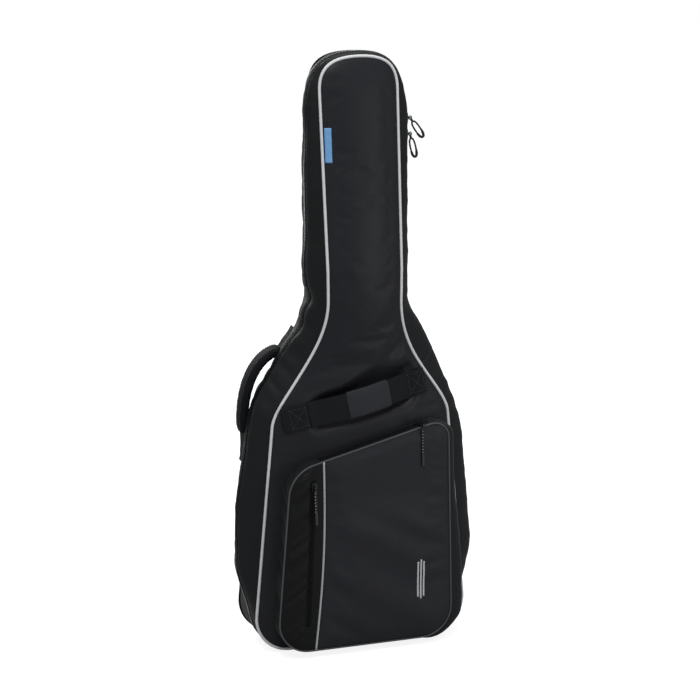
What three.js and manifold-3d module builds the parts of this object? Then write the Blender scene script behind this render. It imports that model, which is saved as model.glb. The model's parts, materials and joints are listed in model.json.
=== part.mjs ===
// A padded gig bag for a full-size acoustic guitar, standing on its base.
// Millimetres. +Z is up, the front faces -Y, and +X is to the right of someone who looks at the front.
// The origin is on the floor, at the centre of the wear patch under the base.

import * as THREE from "three";
import { LoftGeometry } from "three/addons/geometries/LoftGeometry.js";
import { mergeVertices } from "three/addons/utils/BufferGeometryUtils.js";
import Module from "manifold-3d";

const { clamp, degToRad, lerp, smoothstep } = THREE.MathUtils;
const wasm = await Module();
wasm.setup();

// ---- Driving dimensions -------------------------------------------------------------------------

const GAP = 0.3; // clearance between neighbouring pieces

// The front seam's outline, in the XZ plane.
const BASE_Z = 4; // underside of the bag
const BASE_HALF = 200.5; // where the side edges would meet the base
const SIDE_LEAN = degToRad(5.2);
const CORNER_RADIUS = 62;
const SIDE_TOP_Z = 417;
const NECK_FOOT = { x: 66.5, z: 640 };
const NECK_HEAD = { x: 70, z: 998 };
const TOP_Z = 1056;

// The bag's depth, along Y.
const FRONT_Y = -52;
const REAR_Y = 54;
const ZIP_Y = -15;

// Layers of the padded walls.
const FABRIC = 2;
const PANEL_FOAM = 10;
const GUSSET_FOAM = 6;
const LINING = 1.2;
const PANEL_INSET = 3; // cover edge to seam line
const FOAM_INSET = 9.5;
const SEAM_STEP = 2.8; // gusset edge behind the seam line
const PIPING_RADIUS = 2.3;
const TAPE_HALF = 7; // one side of the main zip
const TAPE_THICK = 1.6;

// The front pocket.
const POCKET_DEPTH = 50;
const POCKET_Y = FRONT_Y - POCKET_DEPTH;
const POCKET_INSET = 2.3;
const POCKET_PIPING_RADIUS = 1.8;
const POCKET_CORNERS = [
  { x: -172, z: 15, radius: 55 },
  { x: 155, z: 15, radius: 55 },
  { x: 146, z: 420, radius: 28 },
  { x: -145, z: 347, radius: 60 },
];
const DIVIDER = { topX: -85, topZ: 363, bottomX: -101, bottomZ: 15 };

// Webbing and straps.
const WEBBING = 45;
const HANDLE_PAD_WIDTH = 34;
const STRAP_TOP = { x: 38, z: 588 };
const STRAP_FOOT = { x: 140, z: 84 };

// ---- How depth and bulge change with height -----------------------------------------------------

const ramp = (z, from, to) => clamp((z - from) / (to - from), 0, 1);

// The front seam swells forward at the neck's foot and leans back towards the head.
const frontY = (z) => FRONT_Y - 22 * smoothstep(z, 500, 650) + 36 * ramp(z, 690, 1020);

// The rear seam steps in a little at the neck and leans forward at the head.
const rearY = (z) => REAR_Y - 14 * smoothstep(z, 640, 780) - 22 * smoothstep(z, 820, 1040);

// The main zip is a straight line up the neck, because its sliders run there.
const zipY = (z) =>
  ZIP_Y - 14 * smoothstep(z, 500, NECK_FOOT.z) + 11 * ramp(z, NECK_FOOT.z, NECK_HEAD.z);

// A soft rise of one around a height, and nothing beyond reach of it.
const swell = (z, middle, reach) => Math.cos((Math.PI / 2) * clamp((z - middle) / reach, -1, 1)) ** 2;

// How far the padded side wall stands out of the seam line, at the main zip.
const bulge = (z) =>
  34 * smoothstep(z, 48, 168) -
  10 * smoothstep(z, 430, NECK_FOOT.z) -
  7 * swell(z, 452, 70) +
  8 * swell(z, 570, 70) -
  18 * smoothstep(z, 950, TOP_Z);

// ---- Geometry helpers ---------------------------------------------------------------------------

// Six times the volume between an indexed geometry's faces and a point; below zero if they face it.
function signedVolume(geometry, from = new THREE.Vector3()) {
  const position = geometry.getAttribute("position");
  const order = geometry.index.array;
  const [a, b, c] = [new THREE.Vector3(), new THREE.Vector3(), new THREE.Vector3()];
  let volume = 0;
  for (let i = 0; i < order.length; i += 3) {
    a.fromBufferAttribute(position, order[i]).sub(from);
    b.fromBufferAttribute(position, order[i + 1]).sub(from);
    c.fromBufferAttribute(position, order[i + 2]).sub(from);
    volume += a.dot(b.cross(c));
  }
  return volume;
}

// A closed solid through rings of points, in either order. A ring loft ends where it starts.
function loft(sections, isRing = false) {
  const wall = new LoftGeometry(isRing ? [...sections, sections[0]] : sections);
  const middle = sections.flat().reduce((sum, p) => sum.add(p), new THREE.Vector3());
  middle.divideScalar(sections.length * sections[0].length);
  const outward = signedVolume(wall, middle) > 0;
  const rows = outward ? sections : sections.map((row) => [...row].reverse());
  if (isRing) return new LoftGeometry([...rows, rows[0]]);
  return new LoftGeometry(rows, { capStart: true, capEnd: true });
}

// A closed solid between two matching grids of points. Both faces split each cell along the same
// diagonal, so that layers drawn one inside another keep the gap between them.
function shell(outer, inner, isRing) {
  const [rows, columns] = [outer.length, outer[0].length];
  const index = [];
  const at = (i, j, layer) => (layer * rows + (i % rows)) * columns + j;
  const cell = (a, b, c, d) => index.push(a, b, d, b, c, d);
  const cellBehind = (a, b, c, d) => index.push(a, d, b, b, d, c);
  for (let i = 0; i < (isRing ? rows : rows - 1); i++) {
    for (let j = 0; j < columns - 1; j++) {
      cell(at(i, j, 0), at(i, j + 1, 0), at(i + 1, j + 1, 0), at(i + 1, j, 0));
      cellBehind(at(i, j, 1), at(i, j + 1, 1), at(i + 1, j + 1, 1), at(i + 1, j, 1));
    }
    const far = columns - 1;
    cell(at(i, 0, 1), at(i, 0, 0), at(i + 1, 0, 0), at(i + 1, 0, 1));
    cellBehind(at(i, far, 1), at(i, far, 0), at(i + 1, far, 0), at(i + 1, far, 1));
  }
  for (let j = 0; !isRing && j < columns - 1; j++) {
    cellBehind(at(0, j, 0), at(0, j + 1, 0), at(0, j + 1, 1), at(0, j, 1));
    cell(at(rows - 1, j, 0), at(rows - 1, j + 1, 0), at(rows - 1, j + 1, 1), at(rows - 1, j, 1));
  }
  const geometry = new THREE.BufferGeometry().setFromPoints([...outer.flat(), ...inner.flat()]);
  geometry.setIndex(index);
  if (signedVolume(geometry) < 0) geometry.setIndex(index.reverse());
  return geometry;
}

// Extrudes a flat shape, drawn in X and Z, from y = back towards the front.
function plate(shape, thickness, back) {
  const options = { depth: thickness, bevelEnabled: false, curveSegments: 4 };
  return new THREE.ExtrudeGeometry(shape, options).rotateX(Math.PI / 2).translate(0, back, 0);
}

function toSolid(geometry) {
  const bare = geometry.clone();
  bare.deleteAttribute("normal");
  bare.deleteAttribute("uv");
  const merged = mergeVertices(bare, 1e-3);
  return new wasm.Manifold(
    new wasm.Mesh({
      numProp: 3,
      vertProperties: merged.getAttribute("position").array,
      triVerts: new Uint32Array(merged.index.array),
    }),
  );
}

function toGeometry(solid) {
  const mesh = solid.getMesh();
  const geometry = new THREE.BufferGeometry();
  geometry.setAttribute("position", new THREE.BufferAttribute(mesh.vertProperties, 3));
  geometry.setIndex(new THREE.BufferAttribute(mesh.triVerts, 1));
  geometry.computeVertexNormals();
  return geometry;
}

const joined = (first, second) => toGeometry(toSolid(first).add(toSolid(second)));
const cut = (body, tool) => toGeometry(toSolid(body).subtract(toSolid(tool)));

const shapeOf = (points) => new THREE.Shape(points.map((p) => new THREE.Vector2(p.x, p.z)));

function rectangle(width, height, x = 0, y = 0) {
  const shape = new THREE.Shape();
  shape.moveTo(x - width / 2, y - height / 2);
  shape.lineTo(x + width / 2, y - height / 2);
  shape.lineTo(x + width / 2, y + height / 2);
  shape.lineTo(x - width / 2, y + height / 2);
  return shape;
}

// ---- Outlines as stations: a point, and the direction that points out of the bag ----------------

const station = (x, z, nx, nz) => ({ x, z, nx, nz });
const mirrored = (s) => station(-s.x, s.z, -s.nx, s.nz);
const inset = (s, distance) => ({ x: s.x - s.nx * distance, z: s.z - s.nz * distance });

function stationOn(curve, t) {
  const point = curve.getPoint(t);
  const along = curve.getTangent(t);
  return station(point.x, point.y, along.y, -along.x);
}

const vector = (x, z) => new THREE.Vector2(x, z);
const cornerX = BASE_HALF - (CORNER_RADIUS * (1 + Math.sin(SIDE_LEAN))) / Math.cos(SIDE_LEAN);
const sideX = (z) => BASE_HALF - Math.tan(SIDE_LEAN) * (z - BASE_Z);

const corner = new THREE.EllipseCurve(
  cornerX,
  BASE_Z + CORNER_RADIUS,
  CORNER_RADIUS,
  CORNER_RADIUS,
  -Math.PI / 2,
  SIDE_LEAN,
);
const side = new THREE.LineCurve(corner.getPoint(1), vector(sideX(SIDE_TOP_Z), SIDE_TOP_Z));
const shoulder = new THREE.CubicBezierCurve(
  vector(sideX(SIDE_TOP_Z), SIDE_TOP_Z),
  vector(sideX(465), 465),
  vector(NECK_FOOT.x - 1, 532),
  vector(NECK_FOOT.x, NECK_FOOT.z),
);
const neck = new THREE.LineCurve(vector(NECK_FOOT.x, NECK_FOOT.z), vector(NECK_HEAD.x, NECK_HEAD.z));
const head = new THREE.CubicBezierCurve(
  vector(NECK_HEAD.x, NECK_HEAD.z),
  vector(NECK_HEAD.x + 0.4, 1042),
  vector(46, TOP_Z),
  vector(0, TOP_Z),
);

const CORNER_STEPS = 5;
const SIDE_STEPS = 3;
const SHOULDER_STEPS = 6;
const rightSide = [
  station(0, BASE_Z, 0, -1),
  ...stationsAlong(corner, CORNER_STEPS),
  ...stationsAlong(side, SIDE_STEPS),
  ...stationsAlong(shoulder, SHOULDER_STEPS),
  ...stationsAlong(neck, 4),
  ...stationsAlong(head, 5),
  station(0, TOP_Z, 0, 1),
];

function stationsAlong(curve, steps) {
  return Array.from({ length: steps }, (_, i) => stationOn(curve, i / steps));
}

// The whole outline, anticlockwise from the middle of the base.
const outline = [...rightSide, ...rightSide.slice(1, -1).reverse().map(mirrored)];

// The lid turns on the right-hand side wall, from the base corner to half-way up the shoulder.
const HINGE_FROM = 1;
const HINGE_TO = 1 + CORNER_STEPS + SIDE_STEPS + SHOULDER_STEPS / 2;
const hingeStretch = trimmed(outline.slice(HINGE_FROM, HINGE_TO + 1));
const zipStretch = trimmed([...outline.slice(HINGE_TO), ...outline.slice(0, HINGE_FROM + 1)]);

// Draws both ends of a stretch in a little, so that it clears the next stretch.
function trimmed(stations) {
  const moved = (s, step) => station(s.x - s.nz * step, s.z + s.nx * step, s.nx, s.nz);
  const last = stations.length - 1;
  return stations.map((s, i) => moved(s, (i === 0 ? GAP : 0) - (i === last ? GAP : 0)));
}

// The outline's point at a height, on the right, between the corner and the head.
function stationAt(z) {
  const curve = [side, shoulder, neck].find((c) => c.getPoint(1).y >= z);
  let [low, high] = [0, 1];
  for (let i = 0; i < 30; i++) {
    const middle = (low + high) / 2;
    if (curve.getPoint(middle).y < z) low = middle;
    else high = middle;
  }
  return stationOn(curve, low);
}

// ---- Bands: a cross-section in (out, y) carried along stations ----------------------------------

const placeAt = (s) => ([out, y]) => new THREE.Vector3(s.x + s.nx * out, y, s.z + s.nz * out);

function sweep(stations, profile, isRing = false) {
  const sections = stations.map((s) => profile(s).map(placeAt(s)));
  return loft(sections, isRing);
}

function tube(stations, radius, yOf) {
  const sides = 6;
  return sweep(
    stations,
    (s) =>
      Array.from({ length: sides }, (_, i) => {
        const angle = ((i + 0.5) / sides) * 2 * Math.PI;
        return [radius * Math.cos(angle), yOf(s.z) + radius * Math.sin(angle)];
      }),
    true,
  );
}

// The side wall's outer face, as (out, y) points from the seam to the zip or the reverse.
const WALL_STEPS = 3;
const eased = (i) => Math.sin(((i / WALL_STEPS) * Math.PI) / 2);
const steps = Array.from({ length: WALL_STEPS + 1 }, (_, i) => i);
const lidWall = (s) => {
  const [from, to] = [frontY(s.z) + SEAM_STEP, zipY(s.z) - TAPE_HALF - GAP];
  return steps.map((i) => [bulge(s.z) * eased(i), lerp(from, to, i / WALL_STEPS)]);
};
const bodyWall = (s) => {
  const [from, to] = [rearY(s.z) - SEAM_STEP, zipY(s.z) + TAPE_HALF + GAP];
  return steps.map((i) => [bulge(s.z) * eased(i), lerp(from, to, i / WALL_STEPS)]).reverse();
};
const hingeWall = (s) => [...lidWall(s), [bulge(s.z), zipY(s.z) + TAPE_HALF]];

// The body wall's outer face at one depth.
const bodyOut = (s, y) => {
  const [from, to] = [rearY(s.z) - SEAM_STEP, zipY(s.z) + TAPE_HALF + GAP];
  return bulge(s.z) * Math.sin((ramp(y, from, to) * Math.PI) / 2);
};

// A layer between two depths below a wall's outer face, measured towards the inside of the outline.
function wallLayer(stations, wall, from, to, isRing = false) {
  const face = (depth) => stations.map((s) => wall(s).map(([out, y]) => placeAt(s)([out - depth, y])));
  return shell(face(from), face(to), isRing);
}

const FOAM_FROM = FABRIC + 2 * GAP;
const lidLayer = (from, to) => wallLayer(zipStretch, lidWall, from, to);
const bodyLayer = (from, to) => wallLayer(outline, bodyWall, from, to, true);
const hingeLayer = (from, to) => wallLayer(hingeStretch, hingeWall, from, to);

// One flat layer of the front or rear panel, lofted upwards. y runs from near to far at each height.
function panel(edge, nearY, farY) {
  const rows = rightSide.slice(1, -1).map((s) => {
    const { x, z } = inset(s, edge);
    return [
      [-x, nearY(z)],
      [x, nearY(z)],
      [x, farY(z)],
      [-x, farY(z)],
    ].map(([px, y]) => new THREE.Vector3(px, y, z));
  });
  return loft(rows);
}

const frontLayer = (edge, from, to) => panel(edge, (z) => frontY(z) + from, (z) => frontY(z) + to);
const rearLayer = (edge, from, to) => panel(edge, (z) => rearY(z) - from, (z) => rearY(z) - to);
const LINING_FROM = FOAM_FROM + PANEL_FOAM + GAP;
const LINING_TO = LINING_FROM + LINING;

// ---- Finishes -----------------------------------------------------------------------------------

const finishes = {
  shell: { color: 0x2a2b2f, roughness: 0.75, metalness: 0 },
  gusset: { color: 0x1f2122, roughness: 0.8, metalness: 0 },
  pocket: { color: 0x2b2c30, roughness: 0.78, metalness: 0 },
  foam: { color: 0x3c3d40, roughness: 0.95, metalness: 0 },
  lining: { color: 0x55585c, roughness: 0.9, metalness: 0 },
  piping: { color: 0xd8d9db, roughness: 0.5, metalness: 0 },
  greyPiping: { color: 0x8b8d90, roughness: 0.5, metalness: 0 },
  binding: { color: 0x17181a, roughness: 0.6, metalness: 0 },
  webbing: { color: 0x1c1d20, roughness: 0.7, metalness: 0 },
  zip: { color: 0x141517, roughness: 0.5, metalness: 0 },
  metal: { color: 0x2c2d30, roughness: 0.35, metalness: 0.9 },
  cord: { color: 0x1a1b1d, roughness: 0.6, metalness: 0 },
  plastic: { color: 0x161719, roughness: 0.4, metalness: 0 },
  patch: { color: 0x202124, roughness: 0.6, metalness: 0 },
  tag: { color: 0x6e9fd0, roughness: 0.7, metalness: 0 },
  mark: { color: 0xb9bbbe, roughness: 0.5, metalness: 0 },
};

const bag = new THREE.Group();

function add(name, geometry, finish, parent = bag) {
  const mesh = new THREE.Mesh(geometry, new THREE.MeshStandardMaterial(finishes[finish]));
  mesh.name = name;
  parent.add(mesh);
  return mesh;
}

// A group whose own Y runs along a line and whose own Z points out of the fabric.
function frameAt(origin, along, out) {
  const up = along.clone().normalize();
  const across = up.clone().cross(out).normalize();
  const square = across.clone().cross(up);
  const group = new THREE.Group();
  group.position.copy(origin);
  group.quaternion.setFromRotationMatrix(new THREE.Matrix4().makeBasis(across, up, square));
  bag.add(group);
  return group;
}

// ---- Covers, foam and lining --------------------------------------------------------------------

function addPanels() {
  add("front_cover", frontLayer(PANEL_INSET, 0, FABRIC), "shell");
  add("front_foam", frontLayer(FOAM_INSET, FOAM_FROM, FOAM_FROM + PANEL_FOAM), "foam");
  add("front_lining", frontLayer(FOAM_INSET, LINING_FROM, LINING_TO), "lining");
  add("rear_cover", rearLayer(PANEL_INSET, 0, FABRIC), "shell");
  add("rear_foam", rearLayer(FOAM_INSET, FOAM_FROM, FOAM_FROM + PANEL_FOAM), "foam");
  add("rear_lining", rearLayer(FOAM_INSET, LINING_FROM, LINING_TO), "lining");
}

// ---- Side wall, piping and main zip -------------------------------------------------------------

function addSideWall() {
  add("lid_gusset", lidLayer(0, FABRIC), "gusset");
  add("lid_gusset_foam", lidLayer(FOAM_FROM, FOAM_FROM + GUSSET_FOAM), "foam");
  add("body_gusset", bodyLayer(0, FABRIC), "gusset");
  add("body_gusset_foam", bodyLayer(FOAM_FROM, FOAM_FROM + GUSSET_FOAM), "foam");
  add("hinge_gusset", hingeLayer(0, FABRIC), "gusset");
  add("hinge_gusset_foam", hingeLayer(FOAM_FROM, FOAM_FROM + GUSSET_FOAM), "foam");
  add("front_piping", tube(outline, PIPING_RADIUS, frontY), "piping");
  add("rear_piping", tube(outline, PIPING_RADIUS, rearY), "binding");
}

function addMainZipTapes() {
  const tape = (from, to) =>
    wallLayer(
      zipStretch,
      (s) => [
        [bulge(s.z), zipY(s.z) + from],
        [bulge(s.z), zipY(s.z) + to],
      ],
      0,
      TAPE_THICK,
    );
  add("zipper_tape_lid", tape(-TAPE_HALF, -GAP / 2), "zip");
  add("zipper_tape_body", tape(GAP / 2, TAPE_HALF), "zip");
}

function addWearPatch() {
  const [halfWidth, halfDepth, radius] = [118, 38, 14];
  const corners = [
    { x: -halfWidth, z: -halfDepth, radius },
    { x: halfWidth, z: -halfDepth, radius },
    { x: halfWidth, z: halfDepth, radius },
    { x: -halfWidth, z: halfDepth, radius },
  ];
  const shape = shapeOf(roundedOutline(corners, 3));
  const geometry = new THREE.ExtrudeGeometry(shape, { depth: BASE_Z - GAP, bevelEnabled: false });
  add("base_wear_patch", geometry, "patch");
}

// ---- Front pocket -------------------------------------------------------------------------------

// Stations round a convex polygon with rounded corners, anticlockwise.
function roundedOutline(corners, arcSteps) {
  const count = corners.length;
  return corners.flatMap(({ x, z, radius }, i) => {
    const [last, next] = [corners[(i + count - 1) % count], corners[(i + 1) % count]];
    const start = Math.atan2(-(x - last.x), z - last.z);
    const end = Math.atan2(-(next.x - x), next.z - z);
    const turn = (end - start + 2 * Math.PI) % (2 * Math.PI);
    const half = turn / 2;
    const middle = start + half;
    const reach = radius / Math.cos(half);
    const [cx, cz] = [x - reach * Math.cos(middle), z - reach * Math.sin(middle)];
    return Array.from({ length: arcSteps + 1 }, (_, k) => {
      const angle = start + (turn * k) / arcSteps;
      const [nx, nz] = [Math.cos(angle), Math.sin(angle)];
      return station(cx + radius * nx, cz + radius * nz, nx, nz);
    });
  });
}

// The part of a convex polygon at least margin to one side of the divider: sign 1 is right, -1 left.
function besideDivider(points, sign, margin) {
  const { topX, topZ, bottomX, bottomZ } = DIVIDER;
  const length = Math.hypot(topX - bottomX, topZ - bottomZ);
  const [nx, nz] = [(sign * (topZ - bottomZ)) / length, (-sign * (topX - bottomX)) / length];
  const depth = (p) => (p.x - bottomX) * nx + (p.z - bottomZ) * nz - margin;
  return points.flatMap((p, i) => {
    const next = points[(i + 1) % points.length];
    const [here, there] = [depth(p), depth(next)];
    const kept = here >= 0 ? [p] : [];
    if (here >= 0 === there >= 0) return kept;
    const t = here / (here - there);
    return [...kept, { x: lerp(p.x, next.x, t), z: lerp(p.z, next.z, t) }];
  });
}

const pocketOutline = roundedOutline(POCKET_CORNERS, 5);
const [, , pocketRight, pocketLeft] = POCKET_CORNERS;
const SLANT = Math.atan2(pocketRight.z - pocketLeft.z, pocketRight.x - pocketLeft.x);
const slantZ = (x) => pocketLeft.z + (x - pocketLeft.x) * Math.tan(SLANT);
const dividerX = (z) =>
  lerp(DIVIDER.bottomX, DIVIDER.topX, (z - DIVIDER.bottomZ) / (DIVIDER.topZ - DIVIDER.bottomZ));

function addPocket() {
  const wallFront = POCKET_Y + 2.1;
  const wallBack = FRONT_Y - GAP;
  const wall = () => [
    [-FABRIC, wallFront],
    [0, wallFront],
    [0, wallBack],
    [-FABRIC, wallBack],
  ];
  add("pocket_gusset", sweep(pocketOutline, wall, true), "pocket");

  const thick = 3;
  const face = pocketOutline.map((s) => inset(s, POCKET_INSET));
  const beside = POCKET_PIPING_RADIUS + GAP;
  const main = shapeOf(besideDivider(face, 1, beside));
  const left = shapeOf(besideDivider(face, -1, beside));
  add("pocket_panel_main", plate(main, thick, POCKET_Y + thick), "pocket");
  add("pocket_panel_side", plate(left, thick, POCKET_Y + thick), "pocket");
  add("pocket_piping", tube(pocketOutline, POCKET_PIPING_RADIUS, () => POCKET_Y), "greyPiping");

  const [low, high] = [DIVIDER.bottomZ + 5, DIVIDER.topZ - 5];
  const ring = (z) =>
    Array.from({ length: 6 }, (_, i) => {
      const angle = (i / 6) * 2 * Math.PI;
      const [dx, dy] = [Math.cos(angle) * POCKET_PIPING_RADIUS, Math.sin(angle) * POCKET_PIPING_RADIUS];
      return new THREE.Vector3(dividerX(z) + dx, POCKET_Y + dy, z);
    });
  add("pocket_divider_piping", loft([ring(low), ring(high)]), "greyPiping");
}

// A plain vertical bar, low on the right of the main panel.
function addPocketMark() {
  const [width, height, thick] = [11, 74, 0.6];
  const [x, z] = [92, 128];
  add("pocket_mark", plate(rectangle(width, height, x, z), thick, POCKET_Y - GAP), "mark");
}

// ---- Zip hardware: built with the zip along Y and the fabric below Z = 0 ------------------------

const SLIDER = { width: 11, length: 18, plate: 2.2, barHeight: 7.6, bar: 1.8, legGap: 5, leg: 1.6 };
const EYE = { outer: 3.8, inner: 2, thick: 2.6 };

// A slider's outer plate, narrower towards the end that closes the zip.
function sliderPlate() {
  const { width, length, plate: thick } = SLIDER;
  const shape = new THREE.Shape();
  shape.moveTo(-width / 3, -length / 2);
  shape.lineTo(width / 3, -length / 2);
  shape.lineTo(width / 2, length / 6);
  shape.lineTo(width / 3, length / 2);
  shape.lineTo(-width / 3, length / 2);
  shape.lineTo(-width / 2, length / 6);
  return new THREE.ExtrudeGeometry(shape, { depth: thick, bevelEnabled: false }).translate(0, 0, GAP);
}

// A slider with a staple over it; the staple's bar runs across the zip and carries the pull.
function sliderWithBar() {
  const { plate: thick, barHeight, bar, legGap, leg } = SLIDER;
  const foot = GAP + thick - 0.5;
  const top = barHeight + bar / 2;
  const staple = rectangle(legGap + 2 * leg, top - foot, 0, (top + foot) / 2);
  const opening = barHeight - bar / 2;
  staple.holes.push(rectangle(legGap, opening - foot - 0.2, 0, (opening + foot + 0.2) / 2));
  const geometry = new THREE.ExtrudeGeometry(staple, { depth: bar, bevelEnabled: false });
  geometry.rotateX(Math.PI / 2).translate(0, bar / 2, 0);
  return joined(sliderPlate(), geometry);
}

// Turns a pull's outline, drawn in XY, into a flat solid in the YZ plane.
function flatPull(shape, curveSegments) {
  const options = { depth: EYE.thick, bevelEnabled: false, curveSegments };
  return new THREE.ExtrudeGeometry(shape, options).translate(0, 0, -EYE.thick / 2).rotateY(Math.PI / 2);
}

// A flat pull: a round eye at the origin and a long loop below it, in the YZ plane.
function loopPull(length, width, wire) {
  const shape = new THREE.Shape();
  shape.absarc(0, 0, EYE.outer, degToRad(-50), degToRad(230));
  const [outerTop, outerFoot] = [-EYE.outer - width / 2, -length + width / 2];
  shape.lineTo(-width / 2, outerTop);
  shape.absarc(0, outerFoot, width / 2, Math.PI, 2 * Math.PI);
  shape.lineTo(width / 2, outerTop);
  const eye = new THREE.Path().absarc(0, 0, EYE.inner, 0, 2 * Math.PI, true);
  const inside = new THREE.Path();
  inside.absarc(0, outerFoot, width / 2 - wire, Math.PI, 2 * Math.PI);
  inside.absarc(0, outerTop, width / 2 - wire, 0, Math.PI);
  shape.holes.push(eye, inside);
  return flatPull(shape, 5);
}

// A cord pull: the same eye with a ribbed cord below it.
function cordPull(length) {
  const eyeShape = new THREE.Shape().absarc(0, 0, EYE.outer, 0, 2 * Math.PI);
  eyeShape.holes.push(new THREE.Path().absarc(0, 0, EYE.inner, 0, 2 * Math.PI, true));
  const top = -EYE.outer + 0.9;
  const [tipRadius, cordRadius, tipLength] = [2.8, 2, 14];
  const profile = [
    [0, -length],
    [tipRadius - 0.4, -length],
    [tipRadius, -length + tipLength / 2],
    [cordRadius, -length + tipLength],
    [cordRadius, top],
    [0, top],
  ];
  const cord = new THREE.LatheGeometry(profile.map(([radius, y]) => vector(radius, y)), 8);
  return joined(flatPull(eyeShape, 6), cord);
}

// A slider with a bar, and the pull on it; the pull leans out by angle from lying along the zip.
function addZipHardware(frame, sliderName, pullName, pull, angle) {
  add(sliderName, sliderWithBar(), "metal", frame);
  const mesh = add(pullName, pull, "cord", frame);
  mesh.position.z = SLIDER.barHeight;
  mesh.rotation.x = -angle;
}

const neckZipPoint = (z) => {
  const s = stationAt(z);
  return new THREE.Vector3(s.x + s.nx * bulge(z), zipY(z), s.z + s.nz * bulge(z));
};
const ZIP_UPPER = { z: 942, lean: degToRad(38) };
const ZIP_LOWER = { z: 914, lean: degToRad(14) };

function addMainSliders() {
  const along = neckZipPoint(ZIP_UPPER.z).sub(neckZipPoint(NECK_FOOT.z + 5));
  const out = new THREE.Vector3(1, 0, 0);
  const [length, width, wire] = [44, 14, 2.6];
  for (const [name, { z, lean }] of [["upper", ZIP_UPPER], ["lower", ZIP_LOWER]]) {
    const frame = frameAt(neckZipPoint(z), along, out);
    addZipHardware(frame, "zip_slider_" + name, "zip_pull_" + name, loopPull(length, width, wire), lean);
  }
}

// The pocket's top zip lies on the slanted wall; its slider's tab reaches over the front edge.
const POCKET_ZIP_Y = POCKET_Y + 16;
const POCKET_SLIDER_X = 97;

function addPocketZip() {
  const along = new THREE.Vector3(Math.cos(SLANT), 0, Math.sin(SLANT));
  const out = new THREE.Vector3(-Math.sin(SLANT), 0, Math.cos(SLANT));
  const [from, to] = [-88, 112];
  const middle = (from + to) / 2;
  const tapeFrame = frameAt(new THREE.Vector3(middle, POCKET_ZIP_Y, slantZ(middle)), along, out);
  const tape = new THREE.BoxGeometry(12, (to - from) / Math.cos(SLANT), 1).translate(0, 0, 0.5 + GAP);
  add("pocket_zip_tape", tape, "zip", tapeFrame);

  const origin = new THREE.Vector3(POCKET_SLIDER_X, POCKET_ZIP_Y, slantZ(POCKET_SLIDER_X));
  const frame = frameAt(origin.addScaledVector(out, 1 + GAP), along, out);
  const { lift, thick, reach, web } = POCKET_TAB;
  add("pocket_zip_slider", pocketSlider().translate(0, 0, lift), "metal", frame);

  // The cord hangs upright from the web at the tab's end.
  const eye = frame.position.clone().addScaledVector(out, lift + thick / 2);
  eye.y -= reach - web / 2;
  const front = new THREE.Vector3(0, -1, 0);
  const upright = new THREE.Vector3(0, 0, 1);
  add("pocket_zip_cord", cordPull(74), "cord", frameAt(eye, upright, front));
}

// The pocket slider's plate, lying on the zip, with a slotted tab along its own X.
const POCKET_TAB = { lift: 1.2, thick: 1.6, reach: 24, web: 2, halfTab: 3.5, halfPlate: 8 };

function pocketSlider() {
  const { thick, reach, web, halfTab, halfPlate } = POCKET_TAB;
  const [plateBack, plateFront, tabStart] = [-5, 4, 6];
  const shape = new THREE.Shape();
  shape.moveTo(plateBack, -halfPlate);
  shape.lineTo(plateFront, -halfPlate);
  shape.lineTo(tabStart, -halfTab);
  shape.lineTo(reach, -halfTab);
  shape.lineTo(reach, halfTab);
  shape.lineTo(tabStart, halfTab);
  shape.lineTo(plateFront, halfPlate);
  shape.lineTo(plateBack, halfPlate);
  const [slot, slotWidth] = [4.6, 4];
  shape.holes.push(rectangle(slot, slotWidth, reach - web - slot / 2, 0));
  return new THREE.ExtrudeGeometry(shape, { depth: thick, bevelEnabled: false });
}

// The side pocket's zip runs down the side panel beside the divider.
const SIDE_ZIP = { offset: 16, top: 330, bottom: 62, width: 8, thick: 1, sliderZ: 318 };

function addSidePocketZip() {
  const zipX = (z) => dividerX(z) - SIDE_ZIP.offset;
  const point = (z, y) => new THREE.Vector3(zipX(z), y, z);
  const y = POCKET_Y - GAP;
  const middle = (SIDE_ZIP.top + SIDE_ZIP.bottom) / 2;
  const along = point(SIDE_ZIP.top, y).sub(point(SIDE_ZIP.bottom, y));
  const out = new THREE.Vector3(0, -1, 0);
  const tape = new THREE.BoxGeometry(SIDE_ZIP.width, along.length(), SIDE_ZIP.thick);
  tape.translate(0, 0, SIDE_ZIP.thick / 2);
  add("side_zip_tape", tape, "zip", frameAt(point(middle, y), along, out));
  const frame = frameAt(point(SIDE_ZIP.sliderZ, y - SIDE_ZIP.thick), along, out);
  addZipHardware(frame, "side_zip_slider", "side_zip_cord", cordPull(66), degToRad(5));
}

// ---- Handles ------------------------------------------------------------------------------------

// A band bent along a flat curve of [x, height] points, with its width square to that curve.
function bentBand(points, thick, width) {
  const shape = shapeOf([
    ...points.map(([x, height]) => ({ x, z: height })),
    ...points.map(([x, height]) => ({ x, z: height + thick })).reverse(),
  ]);
  const geometry = new THREE.ExtrudeGeometry(shape, { depth: width, bevelEnabled: false });
  return geometry.rotateX(Math.PI / 2).translate(0, width / 2, 0);
}

// The front handle lies across the cover, a little higher on the right.
const FRONT_HANDLE = { x: -10, z: 457, slope: degToRad(11.6), half: 90, rise: 10, lift: 16, thick: 3 };

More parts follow.
